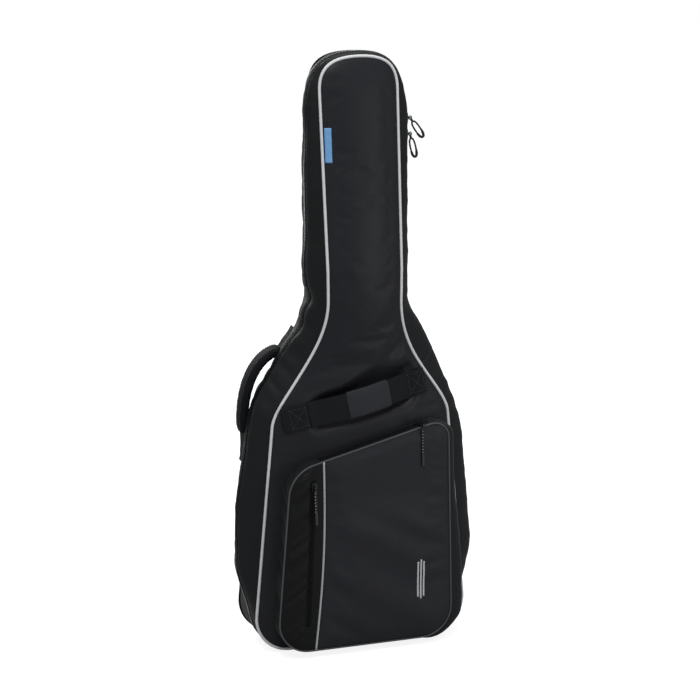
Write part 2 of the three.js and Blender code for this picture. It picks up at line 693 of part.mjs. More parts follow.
function addFrontHandle() {
  const { x: middleX, z: middleZ, slope, half, rise, lift, thick } = FRONT_HANDLE;
  const middle = new THREE.Vector3(middleX, FRONT_Y - GAP, middleZ);
  const up = new THREE.Vector3(-Math.sin(slope), 0, Math.cos(slope));
  const frame = frameAt(middle, up, new THREE.Vector3(0, -1, 0));

  const height = (x) => rise + lift * Math.cos((Math.PI * x) / (2 * half));
  const arch = (from, to, count, sink = 0) =>
    Array.from({ length: count + 1 }, (_, i) => lerp(from, to, i / count))
      .map((x) => [x, height(x) - sink]);
  add("front_handle_webbing", bentBand(arch(-half, half, 10), thick, WEBBING), "webbing", frame);

  // The wrap is a sleeve: a thick band with a channel for the webbing cut through it.
  const [around, play] = [2.6, 0.8];
  const outside = bentBand(arch(-24, 44, 4, around), thick + 2 * around, WEBBING + 2 * around);
  const channel = bentBand(arch(-40, 60, 6, play), thick + 2 * play, WEBBING + 2 * GAP);
  add("front_handle_wrap", cut(outside, channel), "patch", frame);

  // The sewn ends lie flat on the cover and rise to meet the arch.
  const [leftEnd, rightEnd, bend, meet] = [-134, 128, 112, half + GAP];
  const left = [
    [leftEnd, 0],
    [-bend, 0],
    [-meet, rise - thick],
  ];
  const right = [
    [meet, rise - thick],
    [bend, 0],
    [rightEnd, 0],
  ];
  add("front_handle_end_left", bentBand(left, thick, WEBBING), "webbing", frame);
  add("front_handle_end_right", bentBand(right, thick, WEBBING), "webbing", frame);
}

// The side handle's arch, in the XZ plane, left of the shoulder.
const sideHandleCurve = new THREE.CubicBezierCurve(
  vector(-118, 541),
  vector(-184, 548),
  vector(-206, 480),
  vector(-199, 420),
);
const SIDE_HANDLE_Y = 16;

function addSideHandle() {
  const [thick, steps] = [12, 10];
  const spots = Array.from({ length: steps + 1 }, (_, i) => {
    return stationOn(sideHandleCurve, lerp(0.15, 0.86, i / steps));
  });
  const shape = shapeOf([
    ...spots.map((s) => inset(s, thick / 2)),
    ...spots.map((s) => inset(s, -thick / 2)).reverse(),
  ]);
  const grip = plate(shape, HANDLE_PAD_WIDTH, SIDE_HANDLE_Y + HANDLE_PAD_WIDTH / 2);
  add("side_handle_grip", grip, "webbing");
  add("handle_tab_upper", gussetTab(546, 592), "webbing");
  add("handle_tab_lower", gussetTab(372, 432), "webbing");
}

// A sewn tab that follows the left body wall between two heights.
function gussetTab(low, high) {
  const [depths, outside, inside] = [[-4, 8, 20, 32], -4.5, -2];
  const stations = Array.from({ length: 4 }, (_, i) => mirrored(stationAt(lerp(low, high, i / 3))));
  return wallLayer(stations, (s) => depths.map((y) => [bodyOut(s, y), y]), outside, inside);
}

// ---- Shoulder straps ----------------------------------------------------------------------------

// Each strap arches away from the back between its two anchors; its frame's Y runs up that chord.
function addShoulderStrap(name, sign) {
  const top = new THREE.Vector3(sign * STRAP_TOP.x, REAR_Y, STRAP_TOP.z);
  const chord = new THREE.Vector3(sign * STRAP_FOOT.x, REAR_Y, STRAP_FOOT.z).sub(top);
  const length = chord.length();
  const frame = frameAt(top, chord.negate(), new THREE.Vector3(0, 1, 0));
  const height = (down) => 9 + 36 * Math.sin((Math.PI * down) / length);
  const band = (low, high, count, thick, width) => {
    const spots = Array.from({ length: count + 1 }, (_, i) => lerp(low, high, i / count));
    return bentBand(spots.map((down) => [down, height(down)]), thick, width).rotateZ(-Math.PI / 2);
  };
  const [padEnd, lockMiddle, webbingStart] = [300, 315.5, 331];
  const margin = 8;
  add("strap_pad_" + name, band(margin, padEnd, 8, 12, 62), "shell", frame);
  add("strap_webbing_" + name, band(webbingStart, length - margin, 6, 2, 25), "webbing", frame);

  // The ladder lock bridges the pad's end and the webbing, with a slot for each.
  const buckle = rectangle(36, 27);
  const [slotWidth, slotHeight, slotY] = [26, 5, 7];
  for (const y of [-slotY, slotY]) {
    buckle.holes.push(rectangle(slotWidth, slotHeight, 0, y));
  }
  const lock = new THREE.ExtrudeGeometry(buckle, { depth: 4, bevelEnabled: false });
  const tilt = Math.atan2(height(padEnd) - height(webbingStart), webbingStart - padEnd);
  lock.rotateX(tilt).translate(0, -lockMiddle, height(lockMiddle) + 1);
  add("ladder_lock_" + name, lock, "plastic", frame);
}

// The sewn panel above the straps, and a slanted tab at the foot of each.
function addStrapAnchors() {
  const back = REAR_Y + GAP;
  const thick = 3;
  add("strap_anchor_panel", plate(rectangle(112, 56, 0, STRAP_TOP.z + 32), thick, back + thick), "webbing");
  const [top, foot] = [STRAP_FOOT.z - 2, STRAP_FOOT.z - 42];
  for (const [name, sign] of [["left", -1], ["right", 1]]) {
    const tab = new THREE.Shape();
    tab.moveTo(sign * (STRAP_FOOT.x - 18), top);
    tab.lineTo(sign * (STRAP_FOOT.x + 18), top);
    tab.lineTo(sign * (STRAP_FOOT.x + 28), foot);
    tab.lineTo(sign * (STRAP_FOOT.x + 2), foot);
    add("strap_tab_" + name, plate(tab, thick, back + thick), "webbing");
  }
}

// A loop of webbing below the rear of the head; it hangs from a sewn patch.
function addHangLoop() {
  const [z, drop] = [962, 40];
  const lean = new THREE.Vector3(0, rearY(z) - rearY(z - drop), drop).normalize();
  const out = new THREE.Vector3(0, 1, 0);
  const frame = frameAt(new THREE.Vector3(0, rearY(z) + 1, z), lean, out);
  const patch = new THREE.BoxGeometry(44, 16, 2).translate(0, 11, 2.5);
  add("hang_loop_patch", patch, "webbing", frame);
  const [middle, webbing] = [-30, 7];
  const outer = rectangle(34, 62, 0, middle);
  outer.holes.push(rectangle(34 - 2 * webbing, 42, 0, middle));
  const loop = new THREE.ExtrudeGeometry(outer, { depth: 2, bevelEnabled: false });
  add("hang_loop", loop.translate(0, 0, 2.2), "webbing", frame);
}

// ---- Inside -------------------------------------------------------------------------------------

const REAR_FACE = REAR_Y - LINING_TO - GAP; // the rear lining's inner face, below the neck
const FRONT_FACE = FRONT_Y + LINING_TO + GAP;

// A block with a hollow for the guitar's neck.
function addNeckSupport() {
  const [half, top, hollow, deepest] = [46, 10, 32, 24];
  const shape = new THREE.Shape();
  shape.moveTo(-half, REAR_FACE);
  shape.lineTo(-half, top);
  shape.lineTo(-hollow, top);
  shape.quadraticCurveTo(0, deepest + (deepest - top), hollow, top);
  shape.lineTo(half, top);
  shape.lineTo(half, REAR_FACE);
  const [low, height] = [550, 60];
  const block = new THREE.ExtrudeGeometry(shape, { depth: height, bevelEnabled: false, curveSegments: 6 });
  add("neck_support", block.translate(0, 0, low), "foam");
}

// A strap over the neck, above the support, sewn to the rear lining at both ends.
function addNeckStrap() {
  const arch = (half, front, chamfer) => [
    { x: -half, z: REAR_FACE },
    { x: -half, z: front + chamfer },
    { x: -half + chamfer, z: front },
    { x: half - chamfer, z: front },
    { x: half, z: front + chamfer },
    { x: half, z: REAR_FACE },
  ];
  const thick = 2.5;
  const shape = shapeOf([...arch(46, -18, 10), ...arch(46 - thick, -18 + thick, 9).reverse()]);
  const [low, width] = [613, 25];
  const band = new THREE.ExtrudeGeometry(shape, { depth: width, bevelEnabled: false });
  add("neck_strap", band.translate(0, 0, low), "webbing");
}

// Pads at both ends, and a stiff patch on the front lining over the bridge.
function addInnerPads() {
  const headPad = new THREE.BoxGeometry(60, 20, 14).translate(0, -10, 1032);
  add("head_pad", headPad, "foam");
  const [tailThick, tailLow] = [17, BASE_Z + FOAM_FROM + GUSSET_FOAM + GAP];
  const tailPad = new THREE.BoxGeometry(200, 66, tailThick).translate(0, 0, tailLow + tailThick / 2);
  add("tail_pad", tailPad, "foam");
  const patch = 2.5;
  add("bridge_patch", plate(rectangle(180, 110, 0, 190), patch, FRONT_FACE + patch), "patch");
}

// A small woven tag beside the left piping of the neck.
function addTag() {
  const [left, right, low, high, thick] = [-65, -54, 879, 938, 1];
  const row = (z) =>
    [
      [left, frontY(z) - GAP - thick],
      [right, frontY(z) - GAP - thick],
      [right, frontY(z) - GAP],
      [left, frontY(z) - GAP],
    ].map(([x, y]) => new THREE.Vector3(x, y, z));
  add("label_tag", loft([row(low), row(high)]), "tag");
}

addPanels();
addSideWall();
addMainZipTapes();
addWearPatch();
addPocket();
addPocketMark();
addMainSliders();
addPocketZip();
addSidePocketZip();
addFrontHandle();
addSideHandle();
addShoulderStrap("left", -1);
addShoulderStrap("right", 1);
addStrapAnchors();
addHangLoop();
addNeckSupport();
addNeckStrap();
addInnerPads();
addTag();

export default bag;
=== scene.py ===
"""A padded gig bag for an acoustic guitar, finished over its CAD frame.

Shapes are worked out in millimetres and turned into metres when a mesh is made.
+Z is up, the front faces -Y, and +X is to the right of someone who looks at the front.
"""
import json
import math
import random

import bmesh
import bpy
import numpy as np
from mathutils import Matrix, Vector
from mathutils.bvhtree import BVHTree


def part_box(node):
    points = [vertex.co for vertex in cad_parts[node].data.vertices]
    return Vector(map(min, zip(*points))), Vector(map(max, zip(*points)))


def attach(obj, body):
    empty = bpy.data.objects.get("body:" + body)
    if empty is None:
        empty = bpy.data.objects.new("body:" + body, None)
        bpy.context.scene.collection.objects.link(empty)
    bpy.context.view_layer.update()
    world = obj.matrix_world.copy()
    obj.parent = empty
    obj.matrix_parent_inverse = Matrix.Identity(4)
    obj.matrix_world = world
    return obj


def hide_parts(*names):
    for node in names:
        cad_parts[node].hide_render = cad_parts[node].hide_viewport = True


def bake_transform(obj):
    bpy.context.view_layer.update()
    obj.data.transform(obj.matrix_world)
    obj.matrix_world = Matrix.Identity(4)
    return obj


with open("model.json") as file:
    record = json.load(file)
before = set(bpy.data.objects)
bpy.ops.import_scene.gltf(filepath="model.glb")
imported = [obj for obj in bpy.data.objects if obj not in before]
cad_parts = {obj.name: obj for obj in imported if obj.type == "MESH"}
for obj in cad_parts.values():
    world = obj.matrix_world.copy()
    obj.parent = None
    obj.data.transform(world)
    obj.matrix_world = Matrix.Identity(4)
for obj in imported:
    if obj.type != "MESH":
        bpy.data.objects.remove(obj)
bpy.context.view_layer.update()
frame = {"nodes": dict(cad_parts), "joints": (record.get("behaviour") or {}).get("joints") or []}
MM = 0.001
RIGHT = np.array([1.0, 0, 0])
REARWARD = np.array([0, 1.0, 0])
FORWARD = -REARWARD
DOWN = np.array([0, 0, -1.0])

# ---- The seam's outline and the bag's depth, which are those of the CAD model ----

BASE_Z = 4.0
TOP_Z = 1056.0
BASE_HALF = 200.5  # where the side edges would meet the base
LEAN = math.radians(5.2)
CORNER_RADIUS = 62.0
SIDE_TOP_Z = 417.0
NECK_FOOT = (66.5, 640.0)
NECK_HEAD = (70.0, 998.0)
TAPE_HALF = 7.0  # one side of the main zip
SEAM_STEP = 1.6  # from a seam's line to the edge of the wall
MAIN_TOOTH = (3.4, 1.5, 1.3)  # length, width and height
MAIN_TOOTH_PITCH = 2.6
SMALL_TOOTH = (3.4, 1.2, 1.1)
SMALL_TOOTH_PITCH = 1.7
SEAM_CORD_RADIUS = 2.6
POCKET_Y = -102.0
REAR_Y = 54.0
SEAM_POINTS = 520


def ramp(value, low, high):
    return np.clip((np.asarray(value, float) - low) / (high - low), 0, 1)


def smoothstep(value, low, high):
    t = ramp(value, low, high)
    return t * t * (3 - 2 * t)


def swell(z, middle, reach):
    return np.cos(np.pi / 2 * np.clip((z - middle) / reach, -1, 1)) ** 2


def front_y(z):
    return -52 - 22 * smoothstep(z, 500, 650) + 36 * ramp(z, 690, 1020)


def rear_y(z):
    return REAR_Y - 14 * smoothstep(z, 640, 780) - 22 * smoothstep(z, 820, 1040)


def zip_y(z):
    return -15 - 14 * smoothstep(z, 500, 640) + 11 * ramp(z, 640, 998)


def shifted(face, step):
    """A depth that keeps the same distance behind another one."""
    def depth(z):
        return face(z) + step
    return depth


def bulge(z):
    """How far the side wall stands out of the seam's line, at the main zip."""
    rise = 34 * smoothstep(z, 48, 168) - 10 * smoothstep(z, 430, 640)
    return rise - 7 * swell(z, 452, 70) + 8 * swell(z, 570, 70) - 18 * smoothstep(z, 950, 1056)


def bezier(points, count):
    a, b, c, d = [np.array(p, float) for p in points]
    t = np.linspace(0, 1, count)[:, None]
    return (1 - t) ** 3 * a + 3 * (1 - t) ** 2 * t * b + 3 * (1 - t) * t * t * c + t ** 3 * d


def side_x(z):
    return BASE_HALF - math.tan(LEAN) * (z - BASE_Z)


CORNER_X = BASE_HALF - CORNER_RADIUS * (1 + math.sin(LEAN)) / math.cos(LEAN)
SHOULDER = [(side_x(SIDE_TOP_Z), SIDE_TOP_Z), (side_x(465), 465), (NECK_FOOT[0] - 1, 532), NECK_FOOT]


def spaced(points, count, closed=False):
    """The same polyline with evenly spaced points, and the distance along it of each."""
    line = np.vstack([points, points[:1]]) if closed else np.asarray(points)
    along = np.concatenate([[0], np.cumsum(np.linalg.norm(np.diff(line, axis=0), axis=1))])
    spots = np.linspace(0, along[-1], count + 1)[:-1] if closed else np.linspace(0, along[-1], count)
    return np.column_stack([np.interp(spots, along, axis) for axis in line.T]), spots


def seam_outline():
    """The front seam, anticlockwise from the middle of the base: points, normals and distances."""
    angles = np.linspace(-math.pi / 2, LEAN, 30)
    corner = np.column_stack([
        CORNER_X + CORNER_RADIUS * np.cos(angles),
        BASE_Z + CORNER_RADIUS * (1 + np.sin(angles)),
    ])
    head = bezier([NECK_HEAD, (NECK_HEAD[0] + 0.4, 1042), (46, TOP_Z), (0, TOP_Z)], 30)
    right = np.vstack([[(0, BASE_Z)], corner, bezier(SHOULDER, 50), head])
    left = right[1:-1][::-1] * [-1, 1]
    points, along = spaced(np.vstack([right, left]), SEAM_POINTS, closed=True)
    return points, outward(points), along


def outward(points):
    """The directions that point out of a closed outline."""
    tangent = np.roll(points, -1, 0) - np.roll(points, 1, 0)
    tangent /= np.linalg.norm(tangent, axis=1)[:, None]
    return np.column_stack([tangent[:, 1], -tangent[:, 0]])


SEAM, SEAM_NORMAL, SEAM_ALONG = seam_outline()


def seam_index(x, z):
    return int(np.argmin(np.hypot(SEAM[:, 0] - x, SEAM[:, 1] - z)))


# The lid turns on the right-hand wall, from the base corner to half-way up the shoulder.
HINGE_START = seam_index(CORNER_X, BASE_Z)
HINGE_END = seam_index(*bezier(SHOULDER, 3)[1])
HINGE_PART = np.arange(HINGE_START, HINGE_END + 1)
ZIP_PART = np.arange(HINGE_END, HINGE_START + SEAM_POINTS + 1) % SEAM_POINTS
WHOLE = np.arange(SEAM_POINTS)


def waves(along, lengths, seed):
    """Uneven ripples between about -1 and 1, the same at every run."""
    draw = random.Random(seed)
    total = 0
    for length in lengths:
        wander = 1.4 * np.sin(2 * np.pi * along / (3.7 * length) + draw.uniform(0, 6.28))
        total = total + np.sin(2 * np.pi * along / length + wander + draw.uniform(0, 6.28))
    return total / len(lengths)


# ---- Mesh helpers ----

def grid_faces(rows, columns, wrap_rows=False, wrap_columns=False, start=0):
    i = np.arange(rows if wrap_rows else rows - 1)
    j = np.arange(columns if wrap_columns else columns - 1)
    i, j = [m.ravel() for m in np.meshgrid(i, j, indexing="ij")]
    ni, nj = (i + 1) % rows, (j + 1) % columns
    corners = [i * columns + j, i * columns + nj, ni * columns + nj, ni * columns + j]
    return (np.column_stack(corners) + start).tolist()


def piece(name, shape, material, smooth=True):
    """An object made of a shape, which is a pair of points and faces."""
    points, faces = shape
    mesh = bpy.data.meshes.new(name)
    mesh.from_pydata((np.asarray(points, float).reshape(-1, 3) * MM).tolist(), [], faces)
    work = bmesh.new()
    work.from_mesh(mesh)
    bmesh.ops.remove_doubles(work, verts=work.verts, dist=2e-6)
    bmesh.ops.dissolve_degenerate(work, edges=work.edges, dist=1e-6)
    bmesh.ops.recalc_face_normals(work, faces=work.faces)
    for face in work.faces:
        face.smooth = smooth
    work.to_mesh(mesh)
    work.free()
    mesh.materials.append(MATERIALS[material])
    obj = bpy.data.objects.new(name, mesh)
    bpy.context.scene.collection.objects.link(obj)
    return obj


def fitted(name, shape, material, slot, body, *nodes, smooth=True):
    """A piece that rides on a body, in place of the named CAD nodes."""
    obj = piece(name, shape, material, smooth)
    if nodes:
        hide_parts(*nodes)
    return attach(obj, body)


def blended(name, shape, material, slot, bend, *nodes):
    """A piece in place of the named CAD nodes, with its placement baked into its points. bend holds two
    bodies and the places where the piece starts and stops; it is not used.
    """
    obj = piece(name, shape, material)
    if nodes:
        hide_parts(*nodes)
    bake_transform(obj)


def sewn(name, rows, slot, body):
    """Rows of pale stitches that ride on a body."""
    fitted(name, merged(*rows), "pale_thread", slot, body, smooth=False)


def shell(outer, inner, wrap=False):
    """Points and faces of a closed sheet between two matching grids."""
    rows, columns = outer.shape[:2]
    size = rows * columns
    faces = grid_faces(rows, columns, wrap) + grid_faces(rows, columns, wrap, start=size)
    rim = [(i * columns, (i + 1) % rows * columns) for i in range(rows if wrap else rows - 1)]
    rim += [(a + columns - 1, b + columns - 1) for a, b in rim]
    if not wrap:
        ends = [(j, j + 1) for j in range(columns - 1)]
        rim += ends + [(a + size - columns, b + size - columns) for a, b in ends]
    faces += [[a, b, b + size, a + size] for a, b in rim]
    return np.vstack([outer.reshape(-1, 3), inner.reshape(-1, 3)]), faces


def merged(*parts):
    """Several (points, faces) pairs as one."""
    points, faces, start = [], [], 0
    for some, polygons in parts:
        some = np.asarray(some, float).reshape(-1, 3)
        points.append(some)
        faces += [[v + start for v in polygon] for polygon in polygons]
        start += len(some)
    return np.vstack(points), faces


def unit(vectors):
    vectors = np.asarray(vectors, float)
    return vectors / np.linalg.norm(vectors, axis=-1, keepdims=True)


def directions(path, closed=False):
    if closed:
        return unit(np.roll(path, -1, 0) - np.roll(path, 1, 0))
    return unit(np.gradient(path, axis=0))


def facing(vectors, way, at):
    """The same vectors, all turned round if the one at an index looks away from way."""
    return vectors if vectors[at] @ way > 0 else -vectors


def at_depth(pairs, y=0.0):
    """Rows of (x, z) as rows of (x, y, z)."""
    return np.column_stack([pairs[:, 0], np.broadcast_to(y, len(pairs)), pairs[:, 1]])


def path_length(path):
    return np.linalg.norm(np.diff(path, axis=0), axis=1).sum()


def sweep(path, out, section, closed=False):
    """Carries sections of (across, out) offsets along a path. section is one ring, or one per point."""
    along = directions(path, closed)
    out = np.broadcast_to(np.asarray(out, float), path.shape)
    across = unit(np.cross(along, out))
    normal = unit(np.cross(across, along))
    section = np.asarray(section, float)
    if section.ndim == 2:
        section = np.broadcast_to(section, (len(path), *section.shape))
    rings = path[:, None] + section[..., :1] * across[:, None] + section[..., 1:] * normal[:, None]
    faces = grid_faces(len(path), section.shape[1], closed, True)
    if not closed:
        last = (len(path) - 1) * section.shape[1]
        faces += [list(range(section.shape[1])), list(range(last, last + section.shape[1]))]
    return rings.reshape(-1, 3), faces


def round_section(radius, sides=10):
    angle = np.linspace(0, 2 * np.pi, sides, endpoint=False)
    return np.column_stack([radius * np.cos(angle), radius * np.sin(angle)])


def band_section(width, thick, power=6, sides=28):
    """A flat section with rounded edges: a superellipse."""
    angle = np.linspace(0, 2 * np.pi, sides, endpoint=False) + 0.01
    x = np.sign(np.cos(angle)) * np.abs(np.cos(angle)) ** (2 / power)
    y = np.sign(np.sin(angle)) * np.abs(np.sin(angle)) ** (2 / power)
    return np.column_stack([x * width / 2, y * thick / 2])


def scaled(section, scale):
    """One copy of a section for each value of scale."""
    return section[None] * scale[:, None, None]


def beads(centres, along, out, length, width, height):
    """Small raised bars, such as zip teeth or stitches, one at each centre."""
    along = np.broadcast_to(unit(along), centres.shape)
    out = np.broadcast_to(unit(out), centres.shape)
    across = np.cross(along, out)
    corners = []
    for scale, level in ((1, -0.3 * height), (0.7, height)):
        for u, v in ((-1, -1), (1, -1), (1, 1), (-1, 1)):
            shift = along * (u * scale * length / 2) + across * (v * scale * width / 2)
            corners.append(centres + shift + out * level)
    points = np.stack(corners, axis=1).reshape(-1, 3)
    one = [[3, 2, 1, 0], [4, 5, 6, 7], [0, 1, 5, 4], [1, 2, 6, 5], [2, 3, 7, 6], [3, 0, 4, 7]]
    return points, [[v + 8 * k for v in face] for k in range(len(centres)) for face in one]


def stitches(path, out, pitch=4.2, length=2.9, width=0.8, height=0.45):
    """A running stitch along a polyline; out is the direction away from the fabric."""
    centres, _ = spaced(path, max(3, int(path_length(path) / pitch)))
    if out.ndim == 2:
        out, _ = spaced(out, len(centres))
    return beads(centres, directions(centres), out, length, width, height)


def cloth_steps(obj, pressure):
    """Swells a sheet that its "pin" group holds, and returns its points in millimetres."""
    cloth = obj.modifiers.new("Cloth", "CLOTH")
    settings = cloth.settings
    settings.quality = 5
    settings.mass = 0.25
    settings.tension_stiffness = 12
    settings.compression_stiffness = 12
    settings.shear_stiffness = 6
    settings.bending_stiffness = 0.6
    settings.use_pressure = True
    settings.uniform_pressure_force = pressure
    settings.vertex_group_mass = "pin"
    settings.shrink_min = -0.004
    settings.effector_weights.gravity = 0
    cloth.collision_settings.use_collision = False
    scene = bpy.context.scene
    for step in range(1, 21):
        scene.frame_set(step)
    final = obj.evaluated_get(bpy.context.evaluated_depsgraph_get()).data
    places = np.array([v.co for v in final.vertices]) / MM
    scene.frame_set(1)
    return places


def relaxed(grid, distance, pressure, cap, fade):
    """A grid after a cloth simulation. Its edge stays, and the effect grows with distance up to fade."""
    pinned = np.ones(grid.shape[:2], bool)
    pinned[1:-1, 1:-1] = False
    points = grid.reshape(-1, 3)
    mesh = bpy.data.meshes.new("cloth_work")
    mesh.from_pydata((points * MM).tolist(), [], grid_faces(*grid.shape[:2]))
    obj = bpy.data.objects.new("cloth_work", mesh)
    bpy.context.scene.collection.objects.link(obj)
    obj.vertex_groups.new(name="pin").add(np.flatnonzero(pinned).tolist(), 1.0, "REPLACE")
    moved = cloth_steps(obj, pressure) - points
    bpy.data.objects.remove(obj)
    reach = np.linalg.norm(moved, axis=1, keepdims=True)
    moved = moved * np.minimum(1, cap / np.maximum(reach, 1e-6))
    return grid + moved.reshape(grid.shape) * smoothstep(distance, 3, fade)[..., None]


def caster(obj):
    """A function that gives the y of obj's front face, in millimetres, at x and z."""
    mesh = obj.data
    tree = BVHTree.FromPolygons([v.co for v in mesh.vertices], [p.vertices for p in mesh.polygons])

    def face_y(x, z):
        hit = tree.ray_cast(Vector((x * MM, -0.4, z * MM)), Vector(REARWARD))
        return hit[0].y / MM if hit[0] else float(front_y(z))

    return face_y


# ---- Materials ----

def srgb(code):
    values = [((code >> shift) & 255) / 255 for shift in (16, 8, 0)]
    return [v / 12.92 if v < 0.04045 else ((v + 0.055) / 1.055) ** 2.4 for v in values] + [1]


class Shader:
    """A procedural material: a Principled surface with mottled colour and a stack of bumps."""

    def __init__(self, name, colour, roughness, mottle=0.08, mottle_scale=9.0, **inputs):
        self.material = bpy.data.materials.new(name)
        self.material.use_nodes = True
        self.nodes = self.material.node_tree.nodes
        self.links = self.material.node_tree.links
        self.surface = self.nodes["Principled BSDF"]
        self.surface.inputs["Roughness"].default_value = roughness
        self.surface.inputs["Specular IOR Level"].default_value = 0.18
        for key, value in inputs.items():
            self.surface.inputs[key.replace("_", " ")].default_value = value
        self.place = self.nodes.new("ShaderNodeTexCoord").outputs["Object"]
        self.normal = None
        self.links.new(self.mottled(srgb(colour), mottle, mottle_scale), self.surface.inputs["Base Color"])

    def texture(self, kind, scale, **settings):
        node = self.nodes.new("ShaderNodeTex" + kind)
        node.inputs["Scale"].default_value = scale
        for key, value in settings.items():
            if hasattr(node, key):
                setattr(node, key, value)
            else:
                node.inputs[key.title()].default_value = value
        self.links.new(self.place, node.inputs["Vector"])
        return node

    def math(self, operation, a, b):
        node = self.nodes.new("ShaderNodeMath")
        node.operation = operation
        self.links.new(a, node.inputs[0])
        self.links.new(b, node.inputs[1])
        return node.outputs[0]

    def mottled(self, colour, amount, scale):
        noise = self.texture("Noise", scale, detail=4.0)
        mix = self.nodes.new("ShaderNodeMix")
        mix.data_type = "RGBA"
        self.links.new(noise.outputs["Fac"], mix.inputs["Factor"])
        mix.inputs[6].default_value = [c * (1 - amount) for c in colour[:3]] + [1]
        mix.inputs[7].default_value = [min(1, c * (1 + amount)) for c in colour[:3]] + [1]
        return mix.outputs[2]

    def bump(self, height, strength, distance):
        node = self.nodes.new("ShaderNodeBump")
        node.inputs["Strength"].default_value = strength
        node.inputs["Distance"].default_value = distance
        self.links.new(height, node.inputs["Height"])
        if self.normal:
            self.links.new(self.normal, node.inputs["Normal"])
        self.normal = node.outputs["Normal"]
        self.links.new(self.normal, self.surface.inputs["Normal"])
        return self

    def weave(self, pitch_mm, strength, distance=0.0003):
        """Warp and weft: bands along each axis, multiplied in pairs so that every face shows a cross."""
        scale = 0.1 / (pitch_mm * MM)
        x, y, z = [self.texture("Wave", scale, bands_direction=axis).outputs["Fac"] for axis in "XYZ"]
        pairs = [self.math("MULTIPLY", a, b) for a, b in ((x, z), (y, z), (x, y))]
        cross = self.math("ADD", self.math("ADD", pairs[0], pairs[1]), pairs[2])
        return self.bump(cross, strength, distance)

    def grain(self, scale, strength, distance=0.0004):
        return self.bump(self.texture("Noise", scale).outputs["Fac"], strength, distance)

    def cells(self, scale, strength, distance):
        return self.bump(self.texture("Voronoi", scale).outputs["Distance"], strength, distance)

    def creases(self, scale, strength, distance):
        noise = self.texture("Noise", scale, detail=3.0, distortion=0.6)
        return self.bump(noise.outputs["Fac"], strength, distance)


def nylon(name, colour, roughness=0.5):
    shader = Shader(name, colour, roughness, mottle=0.1, Sheen_Weight=0.03, Sheen_Roughness=0.4)
    return shader.creases(14, 0.25, 0.004).weave(1.0, 0.12).grain(700, 0.12).material


def webbing(name, colour, pitch=1.6):
    shader = Shader(name, colour, 0.7, mottle=0.1, mottle_scale=40, Specular_IOR_Level=0.08)
    return shader.weave(pitch, 0.35).grain(900, 0.1).material


def moulded(name, colour, roughness, metallic=0.0):
    shader = Shader(name, colour, roughness, mottle=0.06, mottle_scale=60, Metallic=metallic)
    return shader.grain(300, 0.12, 0.0002).material


def vinyl(name, colour):
    return Shader(name, colour, 0.42, mottle=0.08, mottle_scale=30).grain(200, 0.1).material


def white_vinyl(name, colour):
    shader = Shader(name, colour, 0.42, mottle=0.03, mottle_scale=30)
    return shader.grain(200, 0.1).creases(60, 0.2, 0.0008).material


def plush(name, colour):
    shader = Shader(name, colour, 0.95, mottle=0.2, mottle_scale=60, Sheen_Weight=0.6)
    return shader.grain(900, 0.7, 0.0015).creases(30, 0.3, 0.003).material


def glossy_cord(name, colour):
    return Shader(name, colour, 0.3, Specular_IOR_Level=0.9).grain(300, 0.1).material


def rubberised(name, colour):
    return Shader(name, colour, 0.55, mottle=0.1, mottle_scale=30).cells(420, 0.3, 0.0005).material


MATERIALS = {
    "shell": nylon("front_nylon", 0x1F2024, 0.46),
    "gusset": nylon("gusset_nylon", 0x17191A, 0.6),
    "pocket": nylon("pocket_nylon", 0x222327),
    "hatch": nylon("hatch_nylon", 0x0C0D0E),
    "lining": plush("plush_lining", 0x4A4D52),
    "piping": white_vinyl("white_piping", 0xD0D1D3),
    "grey_piping": vinyl("grey_piping", 0x4A4C4F),
    "pale_piping": vinyl("pale_piping", 0xA6A8AA),
    "binding": webbing("black_binding", 0x131416, 1.4),
    "webbing": webbing("black_webbing", 0x1C1D20),
    "tape": webbing("zip_tape", 0x101113, 1.2),
    "teeth": moulded("zip_coil", 0x0E0F10, 0.35),
    "metal": moulded("dark_plating", 0x34363A, 0.3, 0.9),
    "cord": moulded("moulded_pull", 0x202124, 0.5),
    "twist": glossy_cord("twisted_cord", 0x0C0D0E),
    "plastic": moulded("moulded_plastic", 0x141517, 0.35),
    "patch": rubberised("rubberised_fabric", 0x1B1C1F),
    "sleeve": nylon("sleeve_fabric", 0x2A2B2F, 0.55),
    "tag": webbing("blue_woven_tape", 0x6E9FD0, 1.2),
    "mark": moulded("pale_print", 0xB4B6B9, 0.5),
    "thread": moulded("black_thread", 0x232427, 0.6),
    "pale_thread": moulded("grey_thread", 0x3A3C40, 0.6),
}


# ---- The front and rear panels ----

PANEL_COLUMNS = 61
COVER_INSET = 1.6
COVER_THICK = 2.0
COVER_SET_BACK = 0.6  # a cover's own depth, inside that of its seam
PADDING_INSET = 9.5


def panel_grid(inset):
    """Rows of (x, z) across the panel from base to head, drawn in from the seam."""
    half = SEAM_POINTS // 2
    edge = SEAM[: half + 1] - SEAM_NORMAL[: half + 1] * inset
    rising = [0]
    for i in range(1, half + 1):
        if edge[i, 1] > edge[rising[-1], 1] + 1.5 or i == half:
            rising.append(i)
    rows = edge[[HINGE_START] + [i for i in rising if edge[i, 0] > 1 and i > HINGE_START]]
    u = np.linspace(-1, 1, PANEL_COLUMNS)
    u = np.sign(u) * np.abs(u) ** 0.85
    return rows[:, :1] * u[None], np.repeat(rows[:, 1:], PANEL_COLUMNS, axis=1)


def outline_distance(x, z, outline):
    """How far each place lies from a closed outline."""
    spots = np.column_stack([x.ravel(), z.ravel()])
    nearest = np.full(len(spots), 1e9)
    for start, stop in zip(outline, np.roll(outline, -1, axis=0)):
        step = stop - start
        t = np.clip((spots - start) @ step / (step @ step), 0, 1)
        nearest = np.minimum(nearest, np.hypot(*(spots - start - t[:, None] * step).T))
    return nearest.reshape(x.shape)


def seam_distance(x, z):
    return outline_distance(x, z, SEAM[::2])


